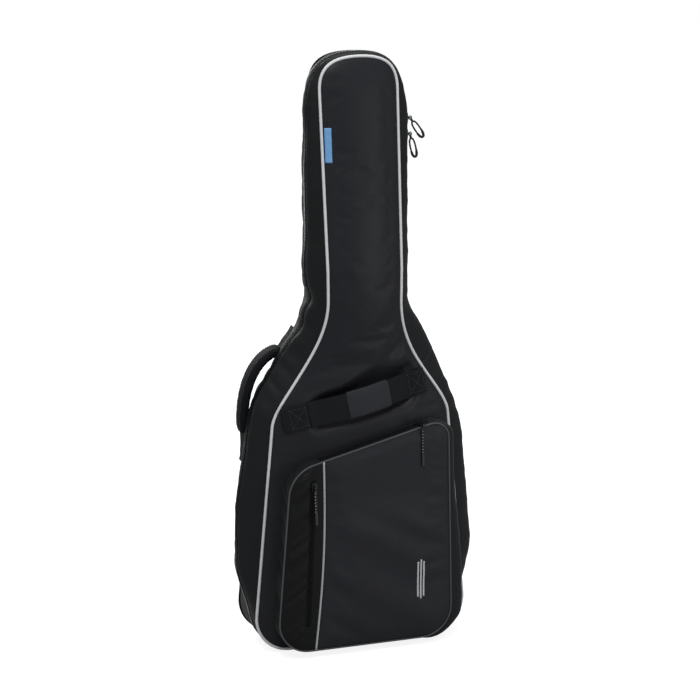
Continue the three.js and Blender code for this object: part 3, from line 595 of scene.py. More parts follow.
def filling(distance, reach):
    """How a padded face rises from its edge: 0 there, and 1 from reach inwards."""
    return 1 - (1 - np.clip(distance / reach, 0, 1)) ** 2


def soft_folds(x, z):
    """Diagonal folds up to the right shoulder, a ridge up to the neck, and a hollow at the handle."""
    above = z - 540
    along = x * 0.66 + above * 0.75
    across = x * 0.75 - above * 0.66
    reach = np.exp(-((x - 58) / 42) ** 2 - (above / 52) ** 2)
    folds = 5.0 * reach * np.sin(across / 9.5 + 0.5 * np.sin(along / 30))
    ridge_x = -48 + 93 * (z - 457) / 191
    ridge = 6 * np.exp(-((x - ridge_x) / 20) ** 2) * swell(z, 560, 110)
    above_handle = z - 459 - 0.2 * x
    top = 36 + 24 * smoothstep(x, -50, 20)
    hollow = smoothstep(above_handle, -44, -22) * (1 - smoothstep(above_handle, 18, top))
    depth = 17 * (1 - smoothstep(np.abs(x - 2), 62, 112))
    return (folds + ridge) * (1 - hollow) - depth * hollow


def crown(x, z):
    """How far the padded front stands proud of the seam."""
    d = seam_distance(x, z)
    return 7.5 * (1 - np.exp(-d / 11)) + 9 * filling(d, 150) + soft_folds(x, z) * smoothstep(d, 3, 25)


def front_cover():
    x, z = panel_grid(COVER_INSET)
    grid = np.stack([x, front_y(z) + COVER_SET_BACK - crown(x, z), z], axis=-1)
    grid = relaxed(grid, seam_distance(x, z), 3.0, 5.0, 34)
    cloth = shell(grid, grid + REARWARD * COVER_THICK)
    return fitted("front_cover_cloth", cloth, "shell", "shell", "front_lid", "front_cover")


def rear_cover():
    x, z = panel_grid(COVER_INSET)
    d = seam_distance(x, z)
    rise = 4 * (1 - np.exp(-d / 10)) + 1.2 * waves(x + 0.4 * z, (150, 90), 4) * smoothstep(d, 5, 40)
    grid = np.stack([x, rear_y(z) - COVER_SET_BACK + rise, z], axis=-1)
    cloth = shell(grid, grid + FORWARD * COVER_THICK)
    fitted("rear_cover_cloth", cloth, "shell", "shell", "bag_body", "rear_cover")


def panel_padding(end, body, face, inwards):
    """The foam and its plush lining as one soft pad behind a cover. inwards is the sign of y."""
    x, z = panel_grid(PADDING_INSET)
    soft = np.exp(-np.maximum(seam_distance(x, z) - PADDING_INSET, 0) / 5)
    quilt = 0.7 * waves(x, (70,), 1) * waves(z, (85,), 2)
    outer = np.stack([x, face(z) + inwards * (2.8 + 2 * soft), z], axis=-1)
    inner = np.stack([x, face(z) + inwards * (13.6 - 4 * soft + quilt), z], axis=-1)
    pad = shell(outer, inner)
    fitted(end + "_padding", pad, "lining", "lining", body, end + "_foam", end + "_lining")


# ---- Side wall, zip and piping ----

def wall_bulge(part):
    """How far the wall stands out at the zip, with the ripple that a long zip gives it."""
    z = SEAM[part, 1]
    ripple = 0.35 * waves(SEAM_ALONG[part], (83, 47, 31), 7) * (1 - smoothstep(z, 600, 650))
    return bulge(z) + ripple * smoothstep(z, 10, 60)


def wall_grid(part, from_y, to_y, steps, depth=0.0):
    """A grid over the wall's outer face, depth below it; the wrinkles match on both sides of a seam."""
    z = SEAM[part, 1]
    along = SEAM_ALONG[part]
    tall = wall_bulge(part)
    settled = settling(part)
    pinch = 1 + 1.6 * swell(z, 470, 90)
    columns = []
    for t in np.linspace(0, 1, steps + 1):
        y = from_y(z) * (1 - t) + to_y(z) * t
        ahead = ramp(y, front_y(z) + SEAM_STEP, zip_y(z) - TAPE_HALF)
        behind = ramp(y, rear_y(z) - SEAM_STEP, zip_y(z) + TAPE_HALF)
        rise = np.minimum(ahead, behind)
        soft = 1.1 * np.sin(np.pi * rise) * smoothstep(z, 6, 60)
        folds = pinch * waves(along + 0.5 * y, (52, 33, 23), 3) + 0.8 * waves(along - 0.8 * y, (120, 71), 5)
        out = tall * np.sin(np.pi / 2 * rise) + soft * folds + settled * rise - depth
        columns.append(at_depth(SEAM[part] + SEAM_NORMAL[part] * out[:, None], y))
    return np.stack(columns, axis=1)


def wall_line(part, face, proud=0.0):
    """A line along the wall at one depth, proud of its outer face."""
    return wall_grid(part, face, face, 1, -proud)[:, 0]


# Where the soft wall fills out or sags, as (amount, height, reach), on the left and on the right.
SETTLING = {
    -1: [
        (4, 700, 55), (-6, 640, 24), (-8, 578, 34), (6, 508, 48),
        (8, 460, 50), (7, 265, 110), (-4, 930, 80),
    ],
    1: [(8, 520, 85), (-5, 420, 60)],
}


def settling(part):
    x, z = SEAM[part].T
    total = 0 * z
    for side, changes in SETTLING.items():
        total += (side * x > 0) * sum(amount * swell(z, height, reach) for amount, height, reach in changes)
    return total


def wall_sheet(part, from_y, to_y, steps, layers):
    """A closed sheet between two depths below the wall's outer face. The whole wall joins up with itself."""
    return shell(*[wall_grid(part, from_y, to_y, steps, depth) for depth in layers], part is WHOLE)


def side_walls():
    """The lid's wall, the body's wall and the hinge stretch, each with its padding inside."""
    for material, ending, node_ending, at_seam, at_zip, steps, layers in (
        ("gusset", "_wall", "_gusset", SEAM_STEP, TAPE_HALF - 0.6, 14, (0, 2)),
        ("lining", "_wall_padding", "_gusset_foam", 5, 9, 8, (2.8, 8.4)),
    ):
        front, rear = shifted(front_y, at_seam), shifted(rear_y, -at_seam)
        ahead, behind = shifted(zip_y, -at_zip), shifted(zip_y, at_zip)
        for name, part, start, stop, body in (
            ("lid", ZIP_PART, front, ahead, "front_lid"),
            ("body", WHOLE, behind, rear, "bag_body"),
            ("hinge", HINGE_PART, front, behind, "bag_body"),
        ):
            sheet = wall_sheet(part, start, stop, steps, layers)
            fitted(name + ending, sheet, material, material, body, name + node_ending)


def zip_half(name, body, side, node):
    """One half of the main zip: tape, coil teeth and a row of stitches. side is -1 for the lid's half."""
    part = ZIP_PART
    inner_edge, outer_edge = shifted(zip_y, side * 0.4), shifted(zip_y, side * TAPE_HALF)
    fitted(name, wall_sheet(part, inner_edge, outer_edge, 4, (-0.3, 1.3)), "tape", "zip", body, node)
    line = wall_line(part, shifted(zip_y, side * 1.6))
    centres, _ = spaced(line, int(path_length(line) / MAIN_TOOTH_PITCH))
    out = at_depth(SEAM_NORMAL[part])
    normals, _ = spaced(out, len(centres))
    coil = beads(centres + normals * 0.3, REARWARD, normals, *MAIN_TOOTH)
    fitted(name + "_teeth", coil, "teeth", "zip", body, smooth=False)
    seam = stitches(wall_line(part, shifted(zip_y, side * 5.4)) + out * 0.4, out)
    fitted(name + "_stitching", seam, "thread", "zip", body, smooth=False)


def seam_cord(name, face, material, body, node):
    """A cord round the whole seam, a little uneven in thickness."""
    radius = SEAM_CORD_RADIUS * (1 + 0.04 * waves(SEAM_ALONG, (23, 14), 9))
    path = at_depth(SEAM, face(SEAM[:, 1]))
    cord = sweep(path, at_depth(SEAM_NORMAL), scaled(round_section(1.0), radius), closed=True)
    fitted(name, cord, material, material, body, node)


def woven_tag():
    """A folded woven tag beside the left piping, on the cover's slope."""
    low, high = [np.array(corner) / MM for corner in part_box("label_tag")]
    x, z = np.meshgrid(np.linspace(low[0], high[0], 7), np.linspace(low[2], high[2], 19), indexing="ij")
    rise = crown(x, z) + 0.9 + 0.25 * waves(z, (19,), 2)
    outer = np.stack([x, front_y(z) + COVER_SET_BACK - rise, z], axis=-1)
    fitted("woven_tag", shell(outer, outer + REARWARD * 3.5), "tag", "tag", "front_lid", "label_tag")


# ---- The front pocket ----

POCKET_CORNERS = [(-172, 15, 55), (155, 15, 55), (146, 420, 28), (-145, 347, 60)]  # x, z and radius
DIVIDER_TOP = (-85.0, 363.0)
DIVIDER_BOTTOM = (-101.0, 15.0)
POCKET_POINTS = 360


def rounded_polygon(corners, arc_steps=10):
    points = []
    for i, (x, z, radius) in enumerate(corners):
        before, after = np.array(corners[i - 1][:2]), np.array(corners[(i + 1) % len(corners)][:2])
        here = np.array([x, z], float)
        start = math.atan2(before[0] - here[0], here[1] - before[1])
        end = math.atan2(here[0] - after[0], after[1] - here[1])
        turn = (end - start) % (2 * math.pi)
        middle = start + turn / 2
        centre = here - radius / math.cos(turn / 2) * np.array([math.cos(middle), math.sin(middle)])
        for angle in np.linspace(start, start + turn, arc_steps):
            points.append(centre + radius * np.array([math.cos(angle), math.sin(angle)]))
    return np.array(points)


POCKET, POCKET_ALONG = spaced(rounded_polygon(POCKET_CORNERS), POCKET_POINTS, closed=True)
POCKET_NORMAL = outward(POCKET)
TOP_RIGHT, TOP_LEFT = POCKET_CORNERS[2:]
SLANT = math.atan2(TOP_RIGHT[1] - TOP_LEFT[1], TOP_RIGHT[0] - TOP_LEFT[0])


def divider_x(z, bow=7.0):
    """The divider between the pocket's panels; the contents bow it to the right."""
    t = (z - DIVIDER_BOTTOM[1]) / (DIVIDER_TOP[1] - DIVIDER_BOTTOM[1])
    straight = DIVIDER_BOTTOM[0] + (DIVIDER_TOP[0] - DIVIDER_BOTTOM[0]) * t
    return straight + bow * np.sin(np.pi * np.clip(t, 0, 1))


def side_zip_x(z):
    return divider_x(z, 0) - 16


def slant_z(x):
    return TOP_LEFT[1] + (x - TOP_LEFT[0]) * math.tan(SLANT)


def pocket_rows(side, row_step, margin=1.4, columns=49):
    """A grid over one part of the pocket's face: side 1 is right of the divider, -1 left of it."""
    ring = POCKET - POCKET_NORMAL * margin
    top, bottom = ring[:, 1].max(), ring[:, 1].min()
    a, b = ring, np.roll(ring, -1, axis=0)
    rows = []
    for z in np.linspace(bottom + 0.3, top - 0.3, int((top - bottom) / row_step)):
        hits = (a[:, 1] - z) * (b[:, 1] - z) < 0
        t = (z - a[hits, 1]) / (b[hits, 1] - a[hits, 1])
        x = a[hits, 0] + (b[hits, 0] - a[hits, 0]) * t
        left, right = x.min(), x.max()
        if side > 0:
            left = max(left, divider_x(z) + margin)
        else:
            right = min(right, divider_x(z) - margin)
        if right - left > 2:
            rows.append([(left + (right - left) * u, z) for u in np.linspace(0, 1, columns)])
    grid = np.array(rows)
    return grid[..., 0], grid[..., 1]


def pocket_distance(x, z):
    return np.minimum(np.abs(x - divider_x(z)), outline_distance(x, z, POCKET[::2]))


PANEL_THICK = 2.4


def pocket_main_panel():
    """The wide panel: fullest low down, with soft dents."""
    x, z = pocket_rows(1, 5.0)
    d = pocket_distance(x, z)
    low = 1 - smoothstep(z, 220, 300)
    dents = 1.2 * waves(x * 0.6 + z, (120, 74), 11) * smoothstep(d, 4, 30)
    rise = 2.2 * (1 - np.exp(-d / 7)) + low * (5.5 * filling(d, 90) + dents)
    grid = relaxed(np.stack([x, POCKET_Y - rise, z], axis=-1), d, 1.0, 2.0, 20)
    panel = shell(grid, grid + REARWARD * PANEL_THICK)
    return fitted("pocket_face_main", panel, "pocket", "pocket", "front_lid", "pocket_panel_main")


def pocket_side_panel():
    """The narrow panel left of the divider, embossed with diagonal ribs."""
    x, z = pocket_rows(-1, 1.2)
    d = pocket_distance(x, z)
    pitch, height = 5.7, 0.8
    bands = smoothstep(np.sin((z + 0.9 * x) * 2 * np.pi / 44), -0.6, 0.6)
    ribs = bands * np.sin((z - 0.55 * x) * 2 * np.pi / pitch)
    embossed = height * (ribs + 1) / 2 * smoothstep(d, 4, 9)
    dents = 2.4 * waves(z - 0.7 * x, (64, 41, 27), 17) * smoothstep(d, 3, 14)
    beside_zip = smoothstep(side_zip_x(z) - x, 6, 10)
    rise = 1 - np.exp(-d / 6) + beside_zip * (embossed + 3 * filling(d, 40) + dents)
    grid = np.stack([x, POCKET_Y - rise, z], axis=-1)
    panel = shell(grid, grid + REARWARD * PANEL_THICK)
    fitted("pocket_face_side", panel, "hatch", "pocket", "front_lid", "pocket_panel_side")


def pocket_wall():
    """The pocket's gusset: slack and creased on the left, full on the right, flat along the slanted zip."""
    x, z = POCKET.T
    on_slant = smoothstep(x, -125, -95) * smoothstep(z, 250, 330)
    left = smoothstep(-x, 100, 140)
    right = smoothstep(x, 70, 135) * (1 - smoothstep(z, 385, 418))
    fullness = right * (15 + 13 * (1 - smoothstep(z, 130, 330)) * smoothstep(z, 10, 60))
    slack = (1 - on_slant) * (1.4 + 3.2 * left)
    columns = []
    for t in np.linspace(0, 1, 15):
        y = (POCKET_Y + 1.2) * (1 - t) + (front_y(z) + 1) * t
        folds = waves(POCKET_ALONG + 34 * t * left, (96, 61, 37), 13)
        out = slack * math.sin(math.pi * t) * (folds - 0.5 * left) + fullness * math.sin(math.pi * t ** 0.7)
        columns.append(at_depth(POCKET + POCKET_NORMAL * out[:, None], y))
    outer = np.stack(columns, axis=1)
    wall = shell(outer, outer - at_depth(POCKET_NORMAL)[:, None] * 1.8, True)
    fitted("pocket_wall", wall, "gusset", "pocket", "front_lid", "pocket_gusset")


def pocket_pipings():
    ring = sweep(at_depth(POCKET, POCKET_Y), at_depth(POCKET_NORMAL), round_section(1.5), closed=True)
    fitted("pocket_edge_piping", ring, "grey_piping", "grey_piping", "front_lid", "pocket_piping")
    z = np.linspace(DIVIDER_BOTTOM[1] + 1, DIVIDER_TOP[1] - 1, 60)
    line = at_depth(np.column_stack([divider_x(z), z]), POCKET_Y - 0.4)
    strip = sweep(line, FORWARD, round_section(1.9))
    fitted("pocket_middle_piping", strip, "pale_piping", "grey_piping", "front_lid", "pocket_divider_piping")


def straight_zip(name, start, end, out, width, node):
    """A closed zip between two points: tape, coil teeth and a row of stitches on each side."""
    path = np.linspace(start, end, 60)
    across = unit(np.cross(unit(end - start), out))
    fitted(name + "_band", sweep(path, out, band_section(width, 1.2)), "tape", "zip", "front_lid", node)
    centres = np.linspace(start, end, int(np.linalg.norm(end - start) / SMALL_TOOTH_PITCH))
    zigzag = np.where(np.arange(len(centres)) % 2 == 0, 0.6, -0.6)[:, None]
    coil = beads(centres + out * 0.3 + across * zigzag, across, out, *SMALL_TOOTH)
    rows = [stitches(path + across * side * (width / 2 - 1.2) + out * 0.5, out) for side in (-1, 1)]
    fitted(name + "_teeth", merged(coil, *rows), "teeth", "zip", "front_lid", smooth=False)


def pocket_zips():
    """The top zip in the slanted wall, and the side zip in the narrow panel."""
    out = np.array([-math.sin(SLANT), 0, math.cos(SLANT)])
    ends = [np.array([x, POCKET_Y + 16, slant_z(x)]) + out * 0.6 for x in (-88, 112)]
    straight_zip("pocket_zip", *ends, out, 12, "pocket_zip_tape")
    ends = [np.array([side_zip_x(z), POCKET_Y - 0.9, z]) for z in (62, 330)]
    straight_zip("side_zip", *ends, FORWARD, 9, "side_zip_tape")


def pocket_mark(face_y):
    """A plain mark of three upright bars, low on the right of the pocket."""
    bars = []
    for x, low, high in ((87, 96, 162), (92.5, 92, 166), (98, 96, 162)):
        path = np.array([(x, face_y(x, z) - 0.35, z) for z in np.linspace(low, high, 24)])
        bars.append(sweep(path, FORWARD, band_section(3.0, 0.7)))
    fitted("pocket_bars", merged(*bars), "mark", "mark", "front_lid", "pocket_mark")


# ---- Zip pulls ----

def joint_frame(name):
    """A joint's pivot in millimetres and its unit axis."""
    joint = next(j for j in frame["joints"] if j["name"] == name)
    return np.array(joint["pos_m"]) / MM, unit(joint["axis"])


def leaning(down, out, degrees):
    """The direction that leans from down towards out."""
    angle = math.radians(degrees)
    return unit(down * math.cos(angle) + out * math.sin(angle))


def eye_ring(pivot, axis, down):
    """A ring that hangs on a slider's bar."""
    turn = np.linspace(0, 2 * np.pi, 24, endpoint=False)[:, None]
    radial = np.cos(turn) * down + np.sin(turn) * np.cross(axis, down)
    return sweep(pivot + radial * 2.9, axis, round_section(1.0, 8), closed=True)


def loop_pull(name, joint, lean, body, node):
    """An oval rubber loop with fine ribs, hanging from its eye at lean degrees out of the fabric."""
    pivot, axis = joint_frame(joint)
    flat = unit(np.cross(axis, RIGHT))
    flat = flat if flat @ DOWN > 0 else -flat
    down = leaning(flat, RIGHT, lean)
    side = unit(np.cross(axis, down))
    length, half_width, neck_length = 43.0, 4.8, 7
    reach = (length - neck_length) / 2
    t = np.linspace(0, 2 * np.pi, 90, endpoint=False)
    oval = np.sign(np.cos(t)) * np.abs(np.cos(t)) ** 0.75
    wide = (np.sign(np.sin(t)) * np.abs(np.sin(t)) ** 0.8)[:, None] * half_width
    path = pivot + down * (neck_length + reach - oval[:, None] * (reach - 1.5)) + side * wide
    tip = smoothstep(-oval, 0.2, 0.6)
    rib = 1 + 0.5 * tip + 0.1 * np.sign(np.sin(t * 34)) * (1 - tip)
    loop = sweep(path, axis, scaled(band_section(3.0, 2.8, 3, 12), rib), closed=True)
    neck = sweep(np.array([pivot + down * s for s in (3, 6, 9)]), axis, band_section(4.2, 2.6, 4, 12))
    fitted(name, merged(eye_ring(pivot, axis, down), neck, loop), "cord", "cord", body, node)


def cord_pull(name, joint, lean, length, body, node):
    """A twisted cord with a moulded end, hanging from its eye."""
    pivot, axis = joint_frame(joint)
    down = leaning(DOWN, FORWARD, lean)
    s = np.linspace(3.2, length, 150)
    tip = smoothstep(s, length - 24, length - 22)
    thick = (2.4 + 0.3 * tip) * np.sqrt(1 - ramp(s, length - 2, length + 0.3) ** 2)
    flatness = 0.28 * (1 - tip)
    ring = round_section(1.0, 16)[None] * np.stack([1 + flatness, 1 - flatness], -1)[:, None]
    turn = 2 * np.pi * s / 11.0
    c, n = np.cos(turn)[:, None], np.sin(turn)[:, None]
    turned = np.stack([ring[..., 0] * c - ring[..., 1] * n, ring[..., 0] * n + ring[..., 1] * c], -1)
    cord = sweep(pivot + down * s[:, None], axis, turned * thick[:, None, None])
    fitted(name, merged(eye_ring(pivot, axis, down), cord), "twist", "cord", body, node)


def zip_pulls():
    loop_pull("upper_loop", "upper_pull_hinge", 34, "upper_pull", "zip_pull_upper")
    loop_pull("lower_loop", "lower_pull_hinge", 13, "lower_pull", "zip_pull_lower")
    cord_pull("pocket_ribbed_cord", "pocket_cord_hinge", 0, 74, "pocket_cord", "pocket_zip_cord")
    cord_pull("side_ribbed_cord", "side_cord_hinge", 5, 66, "side_cord", "side_zip_cord")


# ---- Handles ----

FRONT_HANDLE_SLOPE = math.radians(11.6)
FRONT_HANDLE_MIDDLE = np.array([-10.0, 457.0])
FRONT_HANDLE_ALONG = np.array([math.cos(FRONT_HANDLE_SLOPE), math.sin(FRONT_HANDLE_SLOPE)])
FRONT_HANDLE_UP = np.array([-math.sin(FRONT_HANDLE_SLOPE), math.cos(FRONT_HANDLE_SLOPE)])
WEBBING_WIDTH = 45.0
WEBBING_THICK = 2.6
LAYER_THICK = 2.2
LAYER_PROUD = 2.1
SLEEVE_THICK = 8.6


def front_handle_point(u, across=0.0):
    """x and z of a place on the front handle: u along it and across towards its upper edge."""
    return FRONT_HANDLE_MIDDLE + FRONT_HANDLE_ALONG * u + FRONT_HANDLE_UP * across


def front_handle_y(u, face_y):
    """The webbing's middle depth: the CAD arch, or just proud of the cover where that stands higher."""
    arch = 10 + 16 * math.cos(math.pi * u / 180) if abs(u) < 90 else 10 * float(ramp(112 - abs(u), 0, 22))
    on_arch = -52.3 - arch - 1.5
    on_cover = min(face_y(*front_handle_point(u, across)) for across in (-20, -10, 0, 10, 20)) - 1.6
    gap = on_arch - on_cover
    return on_cover + gap / 2 - math.sqrt(gap * gap / 4 + 6)


def handle_place(u, across, proud, face_y):
    """A place on the front handle, proud of its middle depth."""
    x, z = front_handle_point(u, across)
    return np.array([x, front_handle_y(u, face_y) - proud, z])


def front_strip(spots, proud, section, face_y):
    """A strip that follows the front handle."""
    path = np.array([handle_place(u, 0, proud, face_y) for u in spots])
    out = np.cross(directions(path), at_depth(FRONT_HANDLE_UP[None]))
    return sweep(path, facing(out, FORWARD, len(out) // 2), section)


def front_webbing(face_y):
    """Two halves that meet in the middle. Over the raised part a second layer lies on the first."""
    middle, layer_end, depth = 10.0, 93, -62.0
    for side, sign, end, nodes in (
        ("left", -1, 140, ["front_handle_end_left", "front_handle_webbing"]),
        ("right", 1, 128, ["front_handle_end_right"]),
    ):
        spots = np.linspace(middle, sign * end, 70)
        strip = front_strip(spots, 0, band_section(WEBBING_WIDTH, WEBBING_THICK, 10), face_y)
        spots = np.linspace(middle, sign * layer_end, 70)
        section = band_section(WEBBING_WIDTH + 1.5, LAYER_THICK, 10)
        layer = front_strip(spots, LAYER_PROUD, section, face_y)
        start, stop = at_depth(np.array([front_handle_point(sign * u) for u in (98, 66)]), depth)
        bend = "front_lid", "front_handle", start, stop
        blended("front_webbing_" + side, merged(strip, layer), "webbing", "webbing", bend, *nodes)
        box_stitching("front_box_stitching_" + side, sign, face_y)


def box_stitching(name, sign, face_y):
    """A sewn box with a cross inside it, over one end of the front handle."""
    near, far, half = sign * 97, sign * 125, 17.0
    corners = np.array([(near, -half), (far, -half), (far, half), (near, half)])
    rows = []
    for a, b in ((0, 1), (1, 2), (2, 3), (3, 0), (0, 2), (1, 3)):
        spots = np.linspace(corners[a], corners[b], 12)
        path = np.array([handle_place(u, across, 1.4, face_y) for u, across in spots])
        rows.append(stitches(path, FORWARD, width=1.1, height=0.6))
    sewn(name, rows, "webbing", "front_lid")


def front_wrap(face_y):
    """The padded sleeve round the middle of the front handle."""
    left, right = -24, 56
    u = np.linspace(left, right, 40)
    ends = np.minimum(ramp(u, left, left + 3), ramp(right - u, 0, 3))
    swelling = 0.86 + 0.14 * np.sqrt(ends) + 0.012 * waves(u, (17, 9), 21)
    section = scaled(band_section(WEBBING_WIDTH + 5, SLEEVE_THICK, 4.5, 36), swelling)
    sleeve = front_strip(u, 1.0, section, face_y)
    fitted("front_handle_sleeve", sleeve, "sleeve", "patch", "front_handle", "front_handle_wrap")
    rows = []
    for at in (-20, -15, 47, 52):
        path = [handle_place(at, across, 5.3, face_y) for across in np.linspace(-19, 19, 10)]
        rows.append(stitches(np.array(path), FORWARD))
    sewn("sleeve_stitching", rows, "patch", "front_handle")


SIDE_HANDLE = [(-122, 538), (-164, 540), (-204, 486), (-196, 384)]
SIDE_HANDLE_Y = 16.0
GRIP_WIDTH = 36
GRIP_THICK = 17
GRIP_SEAM = 11.5  # from the grip's middle line to each row of stitches
TAB_WIDTH = 30
TAB_THICK = 2.4


def side_handle():
    """A stuffed grip that tapers at both ends, and the webbing that holds each end."""
    path = at_depth(bezier(SIDE_HANDLE, 101)[4:98], SIDE_HANDLE_Y)
    tangent = directions(path)
    out = facing(np.cross(tangent, REARWARD), -RIGHT, 30)
    t = np.linspace(0, 1, len(path))
    ends = np.sqrt(1 - (1 - ramp(np.minimum(t, 1 - t), 0, 0.07)) ** 2)
    swelling = (0.45 + 0.55 * ends) * (1 + 0.02 * waves(t * 130, (13, 8), 31))
    grip = sweep(path, out, scaled(band_section(GRIP_WIDTH, GRIP_THICK, 3.0, 36), swelling))
    fitted("side_grip_padding", grip, "binding", "webbing", "side_handle", "side_handle_grip")
    lines = [path + out * 8.1 + REARWARD * edge for edge in (-GRIP_SEAM, GRIP_SEAM)]
    seams = [stitches(line[4:-4], out[4:-4]) for line in lines]
    sewn("side_grip_stitching", seams, "webbing", "side_handle")
    handle_strip("side_strip_upper", "handle_tab_upper", path[3], tangent[3], 566, 540)
    handle_strip("side_strip_lower", "handle_tab_lower", path[-4], -tangent[-4], 336, 366)


def left_wall_point(z, y, proud):
    """A place on the left wall, proud of its outer face."""
    half = SEAM_POINTS // 2
    nearest = half + np.argmin(np.abs(SEAM[half:, 1] - z))

    def level(height):
        return np.full(len(height), float(y))

    return wall_line(np.array([nearest]), level, proud)[0]


def handle_strip(name, node, grip_end, into_grip, far_z, near_z):
    """Webbing sewn flat to the wall, which then leaves it to run into the grip."""
    flat = [left_wall_point(far_z + (near_z - far_z) * t, SIDE_HANDLE_Y, 1.4 * t - 0.5)
            for t in np.linspace(0, 1, 14)]
    leave = flat[-1]
    pull = 0.35 * np.linalg.norm(grip_end - leave)
    heading = unit(leave - flat[-3])
    lift = [leave, leave + heading * pull, grip_end - into_grip * pull, grip_end + into_grip * 6]
    path, _ = spaced(np.vstack([flat, bezier(lift, 20)[1:]]), 44)
    out = facing(np.cross(directions(path), REARWARD), -RIGHT, 0)
    strip = sweep(path, out, band_section(TAB_WIDTH, TAB_THICK, 8))
    bend = "bag_body", "side_handle", leave, grip_end
    blended(name, strip, "webbing", "webbing", bend, node)
    box = [left_wall_point(z, SIDE_HANDLE_Y + y, 2.3) for y, z in sewn_box(far_z, near_z)]
    sewn(name + "_stitching", [stitches(np.array(box), out[2])], "webbing", "bag_body")


def sewn_box(far_z, near_z):
    """A box and a diagonal as (y, z) places between two heights."""
    inset = 5 if far_z < near_z else -5
    low, high, half = far_z + inset, near_z - inset, 11
    corners = [(-half, low), (half, low), (half, high), (-half, high), (-half, low), (half, high)]
    return np.vstack([np.linspace(a, b, 7) for a, b in zip(corners, corners[1:])])


# ---- Shoulder straps and what is sewn to the rear ----

STRAP_TOP = np.array([38.0, 588.0])
STRAP_FOOT = np.array([140.0, 84.0])
STRAP_LENGTH = float(np.linalg.norm(STRAP_FOOT - STRAP_TOP))
PAD_END = 300.0
PAD_WIDTH = 62
PAD_THICK = 11.5
STRAP_WEBBING = band_section(25, 1.9, 8)
QUILTING = (62, 124, 186, 248)


def strap_point(sign, down, lift=0.0):
    """A place on a strap, down its chord from the top; lift stands off its arch."""
    x, z = STRAP_TOP + (STRAP_FOOT - STRAP_TOP) * down / STRAP_LENGTH
    height = 9 + 36 * math.sin(math.pi * float(np.clip(down, 0, STRAP_LENGTH)) / STRAP_LENGTH)
    return np.array([sign * x, REAR_Y + height + lift, z])


def shoulder_strap(side, sign):
    """A quilted pad with bound edges, which narrows into its anchor at the top."""
    body = side + "_strap"
    s = np.linspace(-6, PAD_END, 80)
    path = np.array([strap_point(sign, down, 6) for down in s])
    path[:, 1] -= 7.0 * (1 - smoothstep(s, -6, 30))
    out = facing(np.cross(directions(path), RIGHT), REARWARD, 40)
    tip = np.sqrt(1 - (1 - ramp(PAD_END - s, 0, 26)) ** 2)
    width = PAD_WIDTH * (0.55 + 0.45 * tip) * (0.9 + 0.1 * smoothstep(s, 0, 60))
    thick = PAD_THICK * (0.35 + 0.65 * np.minimum(tip, 0.3 + 0.7 * smoothstep(s, -6, 25)))
    quilt = 1 - 0.16 * np.maximum.reduce([np.exp(-((s - at) / 3.5) ** 2) for at in QUILTING])
    section = band_section(1, 1, 3.6, 36)[None] * np.stack([width, thick * quilt], -1)[:, None]
    bend = "bag_body", body, strap_point(sign, -4), strap_point(sign, 45)
    pad = sweep(path, out, section)
    blended("strap_padding_" + side, pad, "shell", "shell", bend, "strap_pad_" + side)
    across = np.cross(directions(path), out)
    half = across * (width / 2)[:, None]
    rim = np.vstack([path + half, (path - half)[::-1]])
    edge = sweep(rim, np.vstack([across, -across[::-1]]), band_section(8.5, 2.6, 4, 14)[:, ::-1])
    blended("strap_binding_" + side, edge, "binding", "binding", bend)
    rows = []
    for i in [int(np.argmin(np.abs(s - at))) for at in QUILTING]:
        row = [path[i] + across[i] * w + out[i] * thick[i] * 0.42 for w in np.linspace(-24, 24, 12)]
        rows.append(stitches(np.array(row), out[i]))
    sewn("strap_quilting_" + side, rows, "shell", body)
    strap_lower(side, sign, body)


def strap_lower(side, sign, body):
    """Webbing from the ladder lock down to its tab, a tie from the pad to the lock, and a spare end."""
    s = np.linspace(PAD_END + 10, STRAP_LENGTH + 8, 70)
    path = np.array([strap_point(sign, down) for down in s])
    path[:, 1] -= 4.5 * smoothstep(s, STRAP_LENGTH - 60, STRAP_LENGTH + 8)
    bend = "bag_body", body, strap_point(sign, STRAP_LENGTH + 2), strap_point(sign, STRAP_LENGTH - 60)
    run = sweep(path, REARWARD, STRAP_WEBBING)
    blended("strap_run_" + side, run, "webbing", "webbing", bend, "strap_webbing_" + side)
    tie = [strap_point(sign, down, 3.2) for down in np.linspace(PAD_END - 16, PAD_END + 10, 14)]
    spare = [strap_point(sign, PAD_END + past, 5 + 0.05 * past) for past in np.linspace(8, 92, 26)]
    ends = [sweep(np.array(line), REARWARD, STRAP_WEBBING) for line in (tie, spare)]
    fitted("strap_tie_" + side, merged(*ends), "webbing", "webbing", body)


def anchor_patch():
    """A padded rectangle with a stitched border, over the straps' upper ends."""
    width, height, proud, middle_z = 112, 58, 5.0, STRAP_TOP[1] + 30
    u, v = np.meshgrid(np.linspace(-1, 1, 33), np.linspace(-1, 1, 25), indexing="ij")
    soft = ((1 - np.abs(u) ** 6) * (1 - np.abs(v) ** 6)) ** 0.5
    x, z = u * width / 2, middle_z + v * height / 2
    outer = np.stack([x, rear_y(z) + 3.5 + proud * soft, z], axis=-1)
    inner = np.stack([x, rear_y(z) + 1.5, z], axis=-1)
    fitted("anchor_patch", shell(outer, inner), "binding", "webbing", "bag_body", "strap_anchor_panel")
    across, up = width / 2 - 5, height / 2 - 5
    corners = np.array([(-across, -up), (across, -up), (across, up), (-across, up)]) + [0, middle_z]
    rows = []
    for a, b in zip(corners, np.roll(corners, -1, axis=0)):
        line = np.linspace(a, b, 9)
        rows.append(stitches(at_depth(line, rear_y(line[:, 1]) + 3.4 + proud), REARWARD))
    sewn("anchor_patch_stitching", rows, "webbing", "bag_body")


